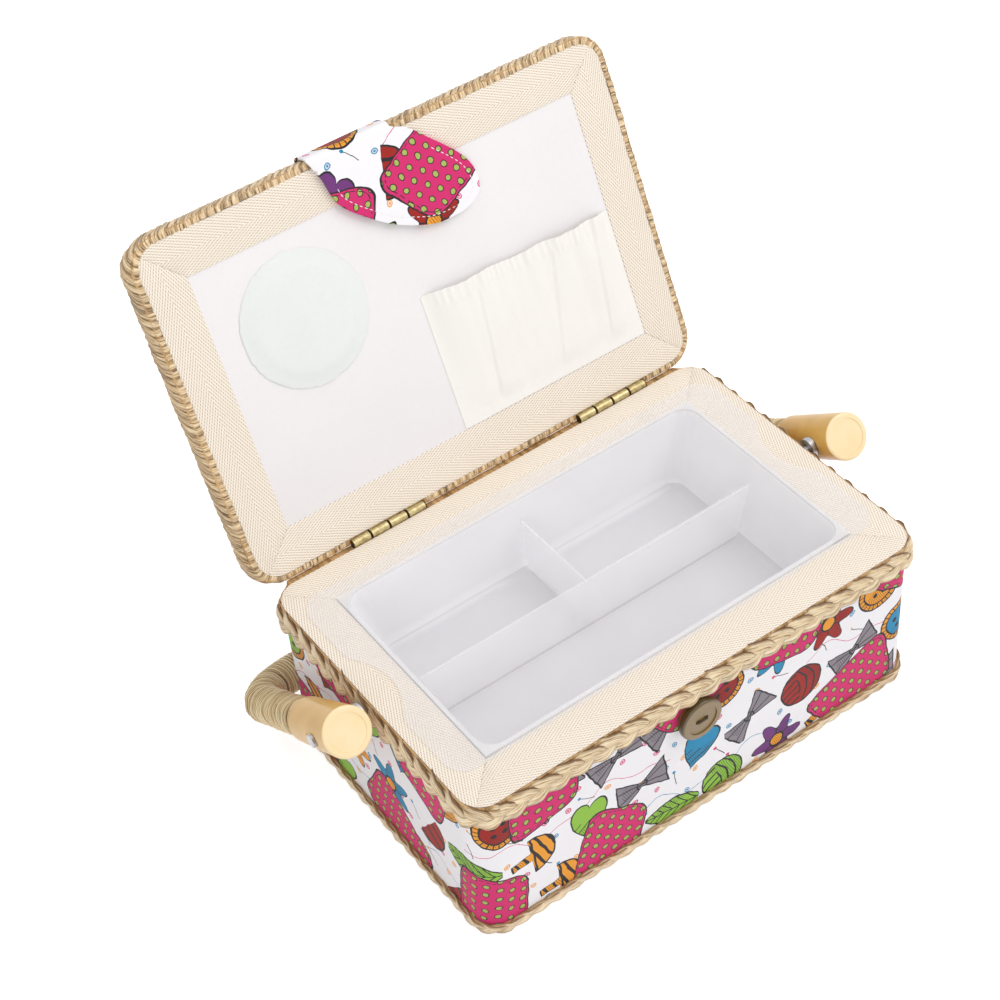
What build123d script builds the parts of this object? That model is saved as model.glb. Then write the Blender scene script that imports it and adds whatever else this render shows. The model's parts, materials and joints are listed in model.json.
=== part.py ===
from build123d import *
import math
import os

# A fabric covered sewing box: a board box with a lift-out divided tray, one hinged padded
# lid with a magnet tab, and one wrapped bail handle on two pivot screws.
# Millimetres. Z is up and the origin is the middle of the face that the box stands on.
# X runs along the length, and the hinges are at +Y. The lid stands open, leaning on its stop.

# ---- driving sizes: box ----
box_length = 265.0
box_depth = 171.0
box_height = 97.0            # up to the top of the rim tape
corner_radius = 13.0
cover_thickness = 0.8        # printed cotton with its backing
wall_thickness = 3.0
lining_thickness = 0.6
base_thickness = 1.0         # sheet under the floor board
floor_thickness = 3.0
floor_lining_thickness = 0.8
rail_thickness = 10.0        # slats that carry the rim tape, the tray and the handle's screws
tape_width = 22.8
tape_thickness = 0.6
braid_height = 12.5
braid_thickness = 4.5
braid_round = 2.0
braid_drop = 0.5             # below the face of the rim tape
back_braid_drop = 2.6        # lower along the hinge side, so the lid can lean back
foot_braid_height = 6.0
foot_braid_thickness = 4.0
foot_braid_lift = 0.5        # the braid stays off the table
foot_braid_round = 1.8

# ---- driving sizes: lid hinges ----
knuckle_radius = 2.2
knuckle_length = 11.0
knuckle_count = 4
pin_radius = 1.1
pin_clearance = 0.05
knuckle_end_gap = 0.15
leaf_thickness = 0.8
leaf_width = 12.0
leaf_edge_gap = 0.4          # between a leaf's edge and the other leaf's knuckles
hinge_left_inset = 70.5      # from the box's left end to the middle of the hinge
hinge_right_inset = 53.5
screw_radius = 0.9
screw_head_radius = 1.7
screw_head_height = 0.4
screw_length = 4.0
screw_spacing = 26.0
screw_clearance = 0.05

# ---- driving sizes: lid ----
lid_side_overhang = 0.25
lid_depth_overhang = 6.0     # the lid is deeper than the box by this
lid_angle = 65.5             # of the open lid above +Y
lid_tape_width = 21.5
lid_lining_thickness = 1.2
lid_board_thickness = 4.0
lid_foam_thickness = 3.4
lid_foam_round = 2.0
lid_edge_height = 11.8       # rope bound edge
lid_rope_thickness = 4.0
lid_rope_round = 2.8
pincushion_radius = 32.0
pincushion_side_inset = 69.75   # from the lid's left edge to its centre
pincushion_front_inset = 65.1   # from the lid's front edge to its centre
pincushion_rim = 1.6
pincushion_crown = 4.2
pocket_width = 114.6
pocket_height = 72.3
pocket_bulge = 6.2           # depth of the mouth
pocket_sheet = 0.8
pocket_side_margin = 7.0     # sewn flat at each side
pocket_bottom_margin = 0.6
elastic_width = 8.0
elastic_thickness = 0.8

# ---- driving sizes: tab ----
tab_left_x = -37.0
tab_width = 47.0
tab_root_inset = 21.6        # from the lid's front edge to the seam on its outside
tab_thickness = 1.2
tab_seat_gap = 0.05
flap_thickness = 2.4
flap_clearance = 0.4
neck_length = 10.5
neck_left_shift = 4.0
neck_right_shift = 12.0
flap_gap = 0.3
flap_end_x = 22.0
flap_end_inset = 31.6        # from the lid's front edge to the middle of the round end
flap_end_radius = 22.0
flap_side_x = -31.0
flap_side_inset = 17.6       # from the lid's front edge to the flap's side corner
magnet_radius = 7.0
magnet_thickness = 1.2
tab_closed_angle = 98.0

# ---- driving sizes: button on the front ----
button_x = -7.6
button_drop = 25.0           # from the box's top to the button's middle
button_radius = 12.0
button_foot_radius = 10.4
button_foot_height = 2.0
button_height = 6.0
button_dish_radius = 8.6
button_dish_depth = 0.6
button_hole_radius = 1.3
button_hole_spacing = 5.0
button_round = 1.2
thread_radius = 0.6
thread_clearance = 0.1
plate_radius = 7.0
plate_hole_radius = 4.2
plate_thickness = 0.8

# ---- driving sizes: handle ----
handle_reach = 123.0         # from the pivots to the middle of the cross bar
handle_corner_radius = 32.0
handle_wrap_radius = 10.0
handle_core_radius = 6.0
handle_stop_gap = 0.3
cap_front = 17.0             # cap's face ahead of the pivot
cap_length = 48.0
cap_face_radius = 12.5
cap_mouth_radius = 11.2
cap_round = 1.4
cap_face_recess = 0.4
cap_face_border = 1.6
cap_wrap_socket = 6.0
cap_core_gap = 8.0           # between the pivot and the end of the core
socket_clearance = 0.1
pivot_screw_radius = 2.0
pivot_running_gap = 0.08
pivot_hole_clearance = 0.2
pivot_head_radius = 3.4
pivot_head_height = 1.5
cap_flat_depth = 0.6         # flats on the cap for the spacer and the screw head
cap_flat_radius = 6.4
spacer_radius = 5.5
spacer_length = 3.1
spacer_end_gap = 0.1
pivot_screw_grip = 16.0      # length held by the slat

# ---- driving sizes: tray and divider ----
tray_clearance = 1.2
tray_wall = 1.0
tray_floor = 1.0
tray_inner_depth = 45.2
tray_corner_radius = 11.0
tray_floor_round = 7.0
tray_end_draft = 0.25
tray_side_draft = 0.078
tray_seat_gap = 0.2
flange_thickness = 0.8
flange_end_width = 18.0
flange_back_width = 9.5
flange_front_width = 3.5
flange_corner_radius = 12.0
flange_notch_depth = 9.5
flange_notch_half = 23.0
flange_notch_y = 3.0
flange_notch_round = 14.0
divider_y = 3.5
divider_cross_x = -3.0
divider_thickness = 1.2
divider_drop = 12.0          # below the tray's rim
divider_end_gap = 3.0
divider_floor_gap = 0.2
divider_corner_radius = 6.0

# ---- margins of cutting shapes ----
cut_past = 1.0               # a cutting shape runs this far past the faces it cuts
edge_match = 0.1             # an edge this close to a line lies on it

# ---- sizes that follow ----
half_length = box_length / 2
half_depth = box_depth / 2
shell_length = box_length - 2 * cover_thickness
shell_depth = box_depth - 2 * cover_thickness
shell_radius = corner_radius - cover_thickness
room_length = shell_length - 2 * wall_thickness
room_depth = shell_depth - 2 * wall_thickness
room_radius = shell_radius - wall_thickness
rail_top = box_height - tape_thickness
rail_bottom = rail_top - rail_thickness
floor_top = base_thickness + floor_thickness
floor_lining_top = floor_top + floor_lining_thickness
opening_length = box_length - 2 * tape_width
opening_depth = box_depth - 2 * tape_width
rail_inner_x = opening_length / 2 + tape_thickness
rail_inner_y = opening_depth / 2 + tape_thickness
leaf_bottom = rail_top - leaf_thickness
cover_top = leaf_bottom - leaf_edge_gap
hinge_y = half_depth + knuckle_radius
hinge_z = leaf_bottom + knuckle_radius
hinge_length = knuckle_length * knuckle_count
hinge_centres = (hinge_left_inset - half_length, half_length - hinge_right_inset)
leaf_start = knuckle_radius + leaf_edge_gap
lid_face = leaf_thickness + tape_thickness - knuckle_radius     # lid tape's face, lid frame
lid_lining_top = lid_face - tape_thickness
lid_board_top = lid_lining_top - lid_lining_thickness
lid_foam_top = lid_board_top - lid_board_thickness
lid_cover_inner = lid_foam_top - lid_foam_thickness
lid_cover_bottom = lid_cover_inner - cover_thickness
lid_length = box_length + 2 * lid_side_overhang
lid_depth = box_depth + lid_depth_overhang
lid_start = leaf_start
lid_end = lid_start + lid_depth
lid_middle = lid_start + lid_depth / 2
lid_rope_bottom = lid_face - lid_edge_height
lid_rope_end = lid_end + lid_rope_thickness
tab_seat = lid_rope_end + tab_seat_gap
fold_reach = tab_seat + tab_thickness / 2
fold_level = lid_face + flap_clearance + flap_thickness / 2
crease_reach = fold_reach - neck_length
tab_right_x = tab_left_x + tab_width
tab_root_reach = lid_end - tab_root_inset
flap_end_reach = lid_end - flap_end_inset
flap_side_reach = lid_end - flap_side_inset
cap_pivot_radius = cap_face_radius - (cap_face_radius - cap_mouth_radius) * cap_front / cap_length
cap_flat = cap_pivot_radius - cap_flat_depth
braid_face = half_length + braid_thickness
pivot_x = braid_face + spacer_length + spacer_end_gap + cap_flat
handle_slope = math.degrees(math.acos(
    (half_depth + foot_braid_thickness + handle_stop_gap + handle_wrap_radius) / handle_reach))
tray_outer_x = opening_length / 2 - tray_clearance
tray_outer_y = opening_depth / 2 - tray_clearance
flange_bottom = box_height + tray_seat_gap
tray_top = flange_bottom + flange_thickness
tray_floor_top = tray_top - tray_inner_depth
tray_bottom = tray_floor_top - tray_floor
front_y = -half_depth
button_z = box_height - button_drop
pivot_height = (rail_bottom + rail_top) / 2

os.makedirs("parts", exist_ok=True)


def save(name, shape):
    """Write one node, as a solid or as a group of solids."""
    solids = list(shape.solids())
    body = solids[0] if len(solids) == 1 else Compound(children=solids)
    export_step(body, "parts/" + name + ".step")


def rounded_plate(length, depth, radius, low, high, middle_y=0.0):
    """Plate with rounded corners between two levels."""
    outline = Pos(0, middle_y, low) * RectangleRounded(length, depth, radius)
    return extrude(outline, high - low)


def block(low, high):
    """Box from its lowest to its highest corner."""
    size = [b - a for a, b in zip(low, high)]
    centre = [(a + b) / 2 for a, b in zip(low, high)]
    return Pos(*centre) * Box(*size)


def rod_x(radius, x_from, x_to, y, z):
    """Cylinder along X."""
    return Pos((x_from + x_to) / 2, y, z) * Rot(0, 90, 0) * Cylinder(radius, abs(x_to - x_from))


def rod_y(radius, y_from, y_to, x, z):
    """Cylinder along Y."""
    return Pos(x, (y_from + y_to) / 2, z) * Rot(90, 0, 0) * Cylinder(radius, abs(y_to - y_from))


def rod_z(radius, z_from, z_to, x, y):
    """Cylinder along Z."""
    return Pos(x, y, (z_from + z_to) / 2) * Cylinder(radius, abs(z_to - z_from))


def band(length, depth, radius, thickness, low, high, rounding, middle_y=0.0):
    """Trim that runs round a rounded rectangle, with its outer edges rounded."""
    outer = rounded_plate(length + 2 * thickness, depth + 2 * thickness, radius + thickness,
                          low, high, middle_y)
    levels = outer.edges().group_by(Axis.Z)
    outer = fillet(levels[0] + levels[-1], rounding)
    return outer - rounded_plate(length, depth, radius, low - cut_past, high + cut_past, middle_y)


def mitred_strip(side, length, depth, low, high, middle_y=0.0):
    """Wedge that cuts one side out of a rectangular frame along 45 degree mitres."""
    half_x = length / 2
    half_y = depth / 2
    near = half_x - half_y
    far_x = half_x + cut_past
    far_y = half_y + cut_past
    corners = {
        "front": [(-far_x, -far_y), (far_x, -far_y), (near, 0), (-near, 0)],
        "back": [(far_x, far_y), (-far_x, far_y), (-near, 0), (near, 0)],
        "left": [(-far_x, far_y), (-far_x, -far_y), (-near, 0)],
        "right": [(far_x, -far_y), (far_x, far_y), (near, 0)],
    }[side]
    wedge = extrude(Pos(0, 0, low) * make_face(Polyline(*corners, close=True)), high - low)
    return Pos(0, middle_y, 0) * wedge


def place_lid(shape):
    """Lid frame to box frame: X along the hinges, Y away from them, Z out of the lining."""
    return Pos(0, hinge_y, hinge_z) * Rot(lid_angle, 0, 0) * shape


def place_handle(shape):
    """Handle frame to box frame: X across, Y from the pivots to the cross bar."""
    return Pos(0, 0, pivot_height) * Rot(-handle_slope, 0, 0) * shape


# ---- box shell ----
def pivot_hole(shape, radius):
    """Drill a side piece for both pivot screws."""
    inner = shell_length / 2 - pivot_screw_grip
    outer = half_length + braid_thickness + cut_past
    for side in (-1, 1):
        shape = shape - rod_x(radius, side * inner, side * outer, 0, pivot_height)
    return shape


pivot_hole_radius = pivot_screw_radius + pivot_hole_clearance
thread_hole_radius = thread_radius + thread_clearance
thread_x = [button_x - button_hole_spacing / 2, button_x + button_hole_spacing / 2]


def thread_holes(shape):
    """Two holes for the button's thread in a front piece."""
    for x in thread_x:
        shape = shape - rod_y(thread_hole_radius, front_y - cut_past, cut_past - room_depth / 2,
                              x, button_z)
    return shape


save("base_cover", rounded_plate(shell_length, shell_depth, shell_radius, 0, base_thickness))
save("floor_board", rounded_plate(room_length, room_depth, room_radius, base_thickness, floor_top))
save("floor_lining", rounded_plate(room_length, room_depth, room_radius, floor_top, floor_lining_top))

shell_ring = rounded_plate(shell_length, shell_depth, shell_radius, base_thickness, rail_bottom)
shell_ring -= rounded_plate(room_length, room_depth, room_radius, 0, box_height)
straight_x = shell_length / 2 - shell_radius
straight_y = shell_depth / 2 - shell_radius
wall_front = shell_ring & block((-straight_x, -half_depth, 0), (straight_x, -straight_y, box_height))
wall_back = shell_ring & block((-straight_x, straight_y, 0), (straight_x, half_depth, box_height))
wall_left = shell_ring & block((-half_length, -straight_y, 0), (-straight_x, straight_y, box_height))
wall_right = shell_ring & block((straight_x, -straight_y, 0), (half_length, straight_y, box_height))
plate_seat = rod_y(plate_radius, -shell_depth / 2, -shell_depth / 2 + plate_thickness, button_x, button_z)
save("wall_front", thread_holes(wall_front) - plate_seat)
save("wall_back", wall_back)
save("wall_left", wall_left)
save("wall_right", wall_right)
wall_corners = shell_ring - block((-straight_x, -half_depth, 0), (straight_x, half_depth, box_height))
wall_corners -= block((-half_length, -straight_y, 0), (half_length, straight_y, box_height))
save("wall_corners", wall_corners)

outer_cover = rounded_plate(box_length, box_depth, corner_radius, base_thickness, cover_top)
outer_cover -= rounded_plate(shell_length, shell_depth, shell_radius, 0, box_height)
save("outer_cover", thread_holes(pivot_hole(outer_cover, pivot_hole_radius)))
inner_lining = rounded_plate(room_length, room_depth, room_radius, floor_lining_top, rail_bottom)
inner_lining -= rounded_plate(room_length - 2 * lining_thickness, room_depth - 2 * lining_thickness,
                              room_radius - lining_thickness, 0, box_height)
save("inner_lining", inner_lining)


# ---- rim: slats, tape and braids ----
def screw_points(centre_x, reach):
    """Places of one leaf's screws."""
    return [(centre_x + side * screw_spacing / 2, reach) for side in (-1, 1)]


screw_reach = leaf_start + (leaf_width - leaf_start) / 2
box_screw_points = [p for x in hinge_centres for p in screw_points(x, hinge_y - screw_reach)]
lid_screw_points = [p for x in hinge_centres for p in screw_points(x, screw_reach)]

rim_plate = rounded_plate(shell_length, shell_depth, shell_radius, rail_bottom, rail_top)
rim_frame = rim_plate - block((-rail_inner_x, -rail_inner_y, 0), (rail_inner_x, rail_inner_y, box_height))
rail_front = rim_frame & block((-half_length, -half_depth, 0), (half_length, -rail_inner_y, box_height))
rail_back = rim_frame & block((-half_length, rail_inner_y, 0), (half_length, half_depth, box_height))
rail_left = rim_frame & block((-half_length, -rail_inner_y, 0), (-rail_inner_x, rail_inner_y, box_height))
rail_right = rim_frame & block((rail_inner_x, -rail_inner_y, 0), (half_length, rail_inner_y, box_height))
for x in hinge_centres:
    rail_back -= block((x - hinge_length / 2, hinge_y - leaf_width, leaf_bottom),
                       (x + hinge_length / 2, half_depth, box_height))
for x, y in box_screw_points:
    rail_back -= rod_z(screw_radius + screw_clearance, rail_top - screw_length - screw_clearance,
                       rail_top, x, y)
save("rail_front", rail_front)
save("rail_back", rail_back)
save("rail_left", pivot_hole(rail_left, pivot_screw_radius + screw_clearance))
save("rail_right", pivot_hole(rail_right, pivot_screw_radius + screw_clearance))

rim_tape = rounded_plate(box_length, box_depth, corner_radius, rail_bottom, box_height)
rim_tape -= block((-opening_length / 2, -opening_depth / 2, 0),
                  (opening_length / 2, opening_depth / 2, box_height + cut_past))
under_tape = rounded_plate(box_length + 2 * cut_past, box_depth + 2 * cut_past, corner_radius, 0, rail_top)
under_tape -= block((-rail_inner_x, -rail_inner_y, -cut_past), (rail_inner_x, rail_inner_y, box_height))
rim_tape -= under_tape
for side in ("front", "back", "left", "right"):
    strip = mitred_strip(side, box_length, box_depth, 0, box_height + cut_past)
    save("rim_tape_" + side, rim_tape & strip)

top_braid_top = box_height - braid_drop
top_braid = band(box_length, box_depth, corner_radius, braid_thickness,
                 top_braid_top - braid_height, top_braid_top, braid_round)
top_braid -= block((-box_length, half_depth, box_height - back_braid_drop),
                   (box_length, box_depth, box_height + cut_past))
save("top_braid", pivot_hole(top_braid, pivot_hole_radius))
save("foot_braid", band(box_length, box_depth, corner_radius, foot_braid_thickness, foot_braid_lift,
                        foot_braid_lift + foot_braid_height, foot_braid_round))


# ---- lid hinges ----
def hinge_leaf(centre_x, own_knuckles):
    """Leaf that lies below the axis: X along the hinge, Y away from the axis."""
    left = centre_x - hinge_length / 2
    leaf = block((left, leaf_start, -knuckle_radius),
                 (left + hinge_length, leaf_width, leaf_thickness - knuckle_radius))
    for index in own_knuckles:
        start = left + index * knuckle_length + knuckle_end_gap
        end = left + (index + 1) * knuckle_length - knuckle_end_gap
        leaf += block((start, 0, -knuckle_radius), (end, leaf_start, leaf_thickness - knuckle_radius))
        leaf += rod_x(knuckle_radius, start, end, 0, 0)
    leaf -= rod_x(pin_radius + pin_clearance, left - cut_past, left + hinge_length + cut_past, 0, 0)
    for x, y in screw_points(centre_x, screw_reach):
        leaf -= rod_z(screw_radius + screw_clearance, -knuckle_radius - cut_past, 0, x, y)
        leaf -= rod_z(screw_head_radius + screw_clearance,
                      leaf_thickness - knuckle_radius - screw_head_height, 0, x, y)
    return leaf


def screw_group(points, top):
    """Flat headed screws, heads flush with the leaf's face."""
    group = []
    for x, y in points:
        head = rod_z(screw_head_radius, top - screw_head_height + screw_clearance, top, x, y)
        group.append(head + rod_z(screw_radius, top - screw_length, top, x, y))
    return Compound(children=group)


box_knuckles = range(0, knuckle_count, 2)
lid_knuckles = range(1, knuckle_count, 2)
for name, x in zip(("left", "right"), hinge_centres):
    box_leaf = Pos(0, hinge_y, hinge_z) * mirror(hinge_leaf(x, box_knuckles), Plane.XZ)
    save("hinge_" + name + "_box_leaf", box_leaf)
    save("hinge_" + name + "_lid_leaf", place_lid(hinge_leaf(x, lid_knuckles)))
    save("hinge_" + name + "_pin",
         rod_x(pin_radius, x - hinge_length / 2, x + hinge_length / 2, hinge_y, hinge_z))
save("hinge_box_screws", screw_group(box_screw_points, rail_top))
save("hinge_lid_screws", place_lid(screw_group(lid_screw_points, lid_lining_top)))


# ---- lid: board, padding, covers and bound edge ----
def lid_plate(shrink, low, high):
    """Plate of the lid's outline, made smaller all round by shrink."""
    return rounded_plate(lid_length - 2 * shrink, lid_depth - 2 * shrink, corner_radius - shrink,
                         low, high, lid_middle)


def lid_screw_holes(shape):
    """Pilot holes under the lid's hinge leaves."""
    for x, y in lid_screw_points:
        shape = shape - rod_z(screw_radius + screw_clearance,
                              lid_lining_top - screw_length - screw_clearance, 0, x, y)
    return shape


lid_board = lid_plate(cover_thickness, lid_foam_top, lid_board_top)
save("lid_board", place_lid(lid_screw_holes(lid_board)))
lid_foam = lid_plate(cover_thickness, lid_cover_inner, lid_foam_top)
save("lid_foam", place_lid(fillet(lid_foam.edges().group_by(Axis.Z)[0], lid_foam_round)))
lid_cover = lid_plate(0, lid_cover_bottom, lid_board_top)
lid_cover = fillet(lid_cover.edges().group_by(Axis.Z)[0], lid_foam_round)
cover_room = lid_plate(cover_thickness, lid_cover_inner, lid_board_top + cut_past)
cover_room = fillet(cover_room.edges().group_by(Axis.Z)[0], lid_foam_round)
save("lid_cover", place_lid(lid_cover - cover_room))
lid_lining = lid_plate(0, lid_board_top, lid_lining_top)
for x in hinge_centres:
    lid_lining -= block((x - hinge_length / 2, 0, lid_lining_top - leaf_thickness),
                        (x + hinge_length / 2, leaf_width, 0))
save("lid_lining", place_lid(lid_screw_holes(lid_lining)))

window_length = lid_length - 2 * lid_tape_width
window_depth = lid_depth - 2 * lid_tape_width
lid_tape = lid_plate(0, lid_lining_top, lid_face)
lid_tape -= Pos(0, lid_middle, lid_face) * Box(window_length, window_depth, 2 * cut_past)
for side, name in (("front", "back"), ("back", "front"), ("left", "left"), ("right", "right")):
    strip = lid_tape & mitred_strip(side, lid_length, lid_depth, lid_lining_top, lid_face, lid_middle)
    save("lid_tape_" + name, place_lid(strip))

lid_rope = band(lid_length, lid_depth, corner_radius, lid_rope_thickness,
                lid_rope_bottom, lid_face, lid_rope_round, lid_middle)
rope_back = lid_start - lid_rope_thickness
for x in hinge_centres:
    lid_rope -= block((x - hinge_length / 2 - leaf_edge_gap, rope_back - cut_past, -leaf_start),
                      (x + hinge_length / 2 + leaf_edge_gap, leaf_start, lid_face + cut_past))
save("lid_rope", place_lid(lid_rope))

# ---- lid: pincushion and gathered pocket ----
crown_radius = (pincushion_radius ** 2 + pincushion_crown ** 2) / (2 * pincushion_crown)
rim_level = lid_lining_top + pincushion_rim
ball = Pos(0, 0, rim_level + pincushion_crown - crown_radius) * Sphere(crown_radius)
pincushion = rod_z(pincushion_radius, lid_lining_top, rim_level + pincushion_crown, 0, 0)
pincushion = pincushion & (ball + rod_z(pincushion_radius + cut_past, lid_lining_top, rim_level, 0, 0))
pincushion_x = pincushion_side_inset - lid_length / 2
pincushion_reach = lid_end - pincushion_front_inset
save("pincushion", place_lid(Pos(pincushion_x, pincushion_reach, 0) * pincushion))

pocket_right_x = window_length / 2 - pocket_bottom_margin
pocket_left_x = pocket_right_x - pocket_width
pocket_bottom = lid_start + lid_tape_width + pocket_bottom_margin
pocket_reach = pocket_bottom + pocket_height
pocket_rise = pocket_bottom + pocket_side_margin
mouth_top = lid_lining_top + pocket_bulge


def pocket_section(shift):
    """Side view of the pocket's front panel, from its bottom hem to its mouth."""
    return [(pocket_bottom, lid_lining_top + shift), (pocket_rise, lid_lining_top + shift),
            (pocket_reach, mouth_top - pocket_sheet + shift)]


def side_extrude(points, x_from, x_to):
    """Extrude a Y, Z outline along X."""
    face = make_face(Polyline(*[(0, y, z) for y, z in points], close=True))
    return Pos(x_from, 0, 0) * extrude(face, x_to - x_from, dir=(1, 0, 0))


span_left = pocket_left_x + pocket_side_margin
span_right = pocket_right_x - pocket_side_margin
panel = side_extrude(pocket_section(0) + pocket_section(pocket_sheet)[::-1], span_left, span_right)
gusset = [(pocket_rise, lid_lining_top), (pocket_reach, lid_lining_top),
          (pocket_reach, mouth_top), (pocket_rise, lid_lining_top + pocket_sheet)]
pocket = panel
for x_from, x_to in ((span_left, span_left + pocket_sheet), (span_right - pocket_sheet, span_right)):
    pocket += side_extrude(gusset, x_from, x_to)
for x_from, x_to in ((pocket_left_x, span_left), (span_right, pocket_right_x)):
    pocket += block((x_from, pocket_bottom, lid_lining_top),
                    (x_to, pocket_reach, lid_lining_top + pocket_sheet))
save("pocket", place_lid(pocket))
rise = (pocket_bulge - pocket_sheet) / (pocket_reach - pocket_rise)
mouth_under = mouth_top - pocket_sheet
elastic = [(pocket_reach, mouth_under), (pocket_reach, mouth_under - elastic_thickness),
           (pocket_reach - elastic_width, mouth_under - elastic_thickness - rise * elastic_width),
           (pocket_reach - elastic_width, mouth_under - rise * elastic_width)]
save("pocket_elastic", place_lid(side_extrude(elastic, span_left + pocket_sheet,
                                              span_right - pocket_sheet)))

# ---- magnet tab: strap over the lid's edge, neck and flap ----
strap_under = lid_cover_bottom - tab_seat_gap
rope_under = lid_rope_bottom - tab_seat_gap
strap_step = lid_end - lid_rope_round
step_run = tab_thickness         # the strap steps over the edge of the rope along this length
inner_line = [(tab_root_reach, strap_under), (strap_step - step_run, strap_under),
              (strap_step, rope_under), (tab_seat, rope_under), (tab_seat, lid_face)]
outer_line = [(tab_seat + tab_thickness, lid_face),
              (tab_seat + tab_thickness, rope_under - tab_thickness),
              (strap_step - tab_thickness / 2, rope_under - tab_thickness),
              (strap_step - tab_thickness / 2 - step_run, strap_under - tab_thickness),
              (tab_root_reach, strap_under - tab_thickness)]
save("tab_strap", place_lid(side_extrude(inner_line + outer_line, tab_left_x, tab_right_x)))

flap_low = lid_face + flap_clearance
neck_outline = Polyline((tab_left_x, fold_reach), (tab_right_x, fold_reach),
                        (tab_right_x + neck_right_shift, crease_reach),
                        (tab_left_x + neck_left_shift, crease_reach), close=True)
save("tab_neck", place_lid(Pos(0, 0, flap_low) * extrude(make_face(neck_outline), flap_thickness,
                                                         dir=(0, 0, 1))))
flap_start = crease_reach - flap_gap
flap_corners = Polyline((tab_left_x + neck_left_shift, flap_start),
                        (tab_right_x + neck_right_shift, flap_start),
                        (flap_side_x, flap_side_reach), close=True)
flap_end = Pos(flap_end_x, flap_end_reach) * CenterArc((0, 0), flap_end_radius, 0, 360)
flap = extrude(make_hull(flap_corners.edges() + flap_end.edges()), flap_thickness, dir=(0, 0, 1))
magnet_reach = fold_reach - (hinge_z - lid_face - button_z)
magnet_low = flap_low + (flap_thickness - magnet_thickness) / 2
magnet = rod_z(magnet_radius, magnet_low, magnet_low + magnet_thickness, button_x, magnet_reach)
save("tab_flap", place_lid(Pos(0, 0, flap_low) * flap - magnet))
save("tab_magnet", place_lid(magnet))

# ---- button, its thread and the steel ring behind the cover ----
button = rod_y(button_radius, front_y - button_height, front_y - button_foot_height, button_x, button_z)
button = fillet(button.edges(), button_round)
button += rod_y(button_foot_radius, front_y - button_foot_height - button_round, front_y,
                button_x, button_z)
dish_y = front_y - button_height + button_dish_depth
button -= rod_y(button_dish_radius, front_y - button_height, dish_y, button_x, button_z)
for x in thread_x:
    button -= rod_y(button_hole_radius, front_y - button_height - cut_past, front_y + cut_past,
                    x, button_z)
save("front_button", button)
thread = rod_x(thread_radius, thread_x[0], thread_x[1], dish_y - thread_radius, button_z)
for x in thread_x:
    thread += rod_y(thread_radius, dish_y - thread_radius, -room_depth / 2, x, button_z)
    thread += Pos(x, dish_y - thread_radius, button_z) * Sphere(thread_radius)
save("button_thread", thread)
save("clasp_ring", plate_seat - rod_y(plate_hole_radius, -half_depth, -room_depth / 2, button_x, button_z))

# ---- handle: core, wrap and caps ----
cap_mouth = cap_length - cap_front
wrap_start = cap_mouth - cap_wrap_socket
bail_line = FilletPolyline((-pivot_x, cap_core_gap), (-pivot_x, handle_reach), (pivot_x, handle_reach),
                           (pivot_x, cap_core_gap), radius=handle_corner_radius)
wrap_line = FilletPolyline((-pivot_x, wrap_start), (-pivot_x, handle_reach), (pivot_x, handle_reach),
                           (pivot_x, wrap_start), radius=handle_corner_radius)
handle_core = sweep(Plane((-pivot_x, cap_core_gap, 0), x_dir=(1, 0, 0), z_dir=(0, 1, 0))
                    * Circle(handle_core_radius), path=bail_line)
handle_wrap = sweep(Plane((-pivot_x, wrap_start, 0), x_dir=(1, 0, 0), z_dir=(0, 1, 0))
                    * Circle(handle_wrap_radius), path=wrap_line)
save("handle_core", place_handle(handle_core))
save("handle_wrap", place_handle(handle_wrap - handle_core))


def handle_cap(side):
    """Tapered cap on one end of the bail, drilled across for the pivot screw."""
    profile = make_face(Polyline((0, -cap_front), (cap_face_radius, -cap_front),
                                 (cap_mouth_radius, cap_mouth), (0, cap_mouth), close=True))
    cap = revolve(profile, Axis.Y)
    cap = fillet(cap.edges().group_by(Axis.Y)[0], cap_round)
    cap -= rod_y(cap_face_radius - cap_round - cap_face_border, -cap_front,
                 cap_face_recess - cap_front, 0, 0)
    cap -= rod_y(handle_wrap_radius + socket_clearance, wrap_start, cap_mouth, 0, 0)
    cap -= rod_y(handle_core_radius + socket_clearance, cap_core_gap, cap_mouth, 0, 0)
    cap -= rod_x(pivot_screw_radius + pivot_running_gap, -cap_face_radius, cap_face_radius, 0, 0)
    for way in (-1, 1):
        cap -= rod_x(cap_flat_radius, way * cap_flat, way * (cap_face_radius + cut_past), 0, 0)
    return place_handle(Pos(side * pivot_x, 0, 0) * cap)


for name, side in (("left", -1), ("right", 1)):
    save("handle_cap_" + name, handle_cap(side))

# ---- pivot hardware, in pairs ----
spacers = []
screws = []
bore_radius = pivot_screw_radius + pivot_running_gap
for side in (-1, 1):
    outer_flat = pivot_x + cap_flat + spacer_end_gap
    spacer = rod_x(spacer_radius, side * braid_face, side * (braid_face + spacer_length), 0, pivot_height)
    spacers.append(spacer - rod_x(bore_radius, 0, side * box_length, 0, pivot_height))
    screw_end = shell_length / 2 - pivot_screw_grip
    screw = rod_x(pivot_screw_radius, side * screw_end, side * outer_flat, 0, pivot_height)
    head = rod_x(pivot_head_radius, side * outer_flat, side * (outer_flat + pivot_head_height),
                 0, pivot_height)
    screws.append(screw + head)
save("pivot_spacers", Compound(children=spacers))
save("pivot_screws", Compound(children=screws))


# ---- tray and divider ----
def tray_form(inset, low, high, rounding):
    """Tapered tray body between two levels, made smaller by inset and rounded at the bottom."""
    sections = []
    for level in (low, high):
        fall = tray_top - level
        half_x = tray_outer_x - inset - tray_end_draft * fall
        half_y = tray_outer_y - inset - tray_side_draft * fall
        outline = RectangleRounded(2 * half_x, 2 * half_y, tray_corner_radius - inset)
        sections.append(Pos(0, 0, level) * outline)
    body = loft(sections, ruled=True)
    return fillet(body.edges().group_by(Axis.Z)[0], rounding)


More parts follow.
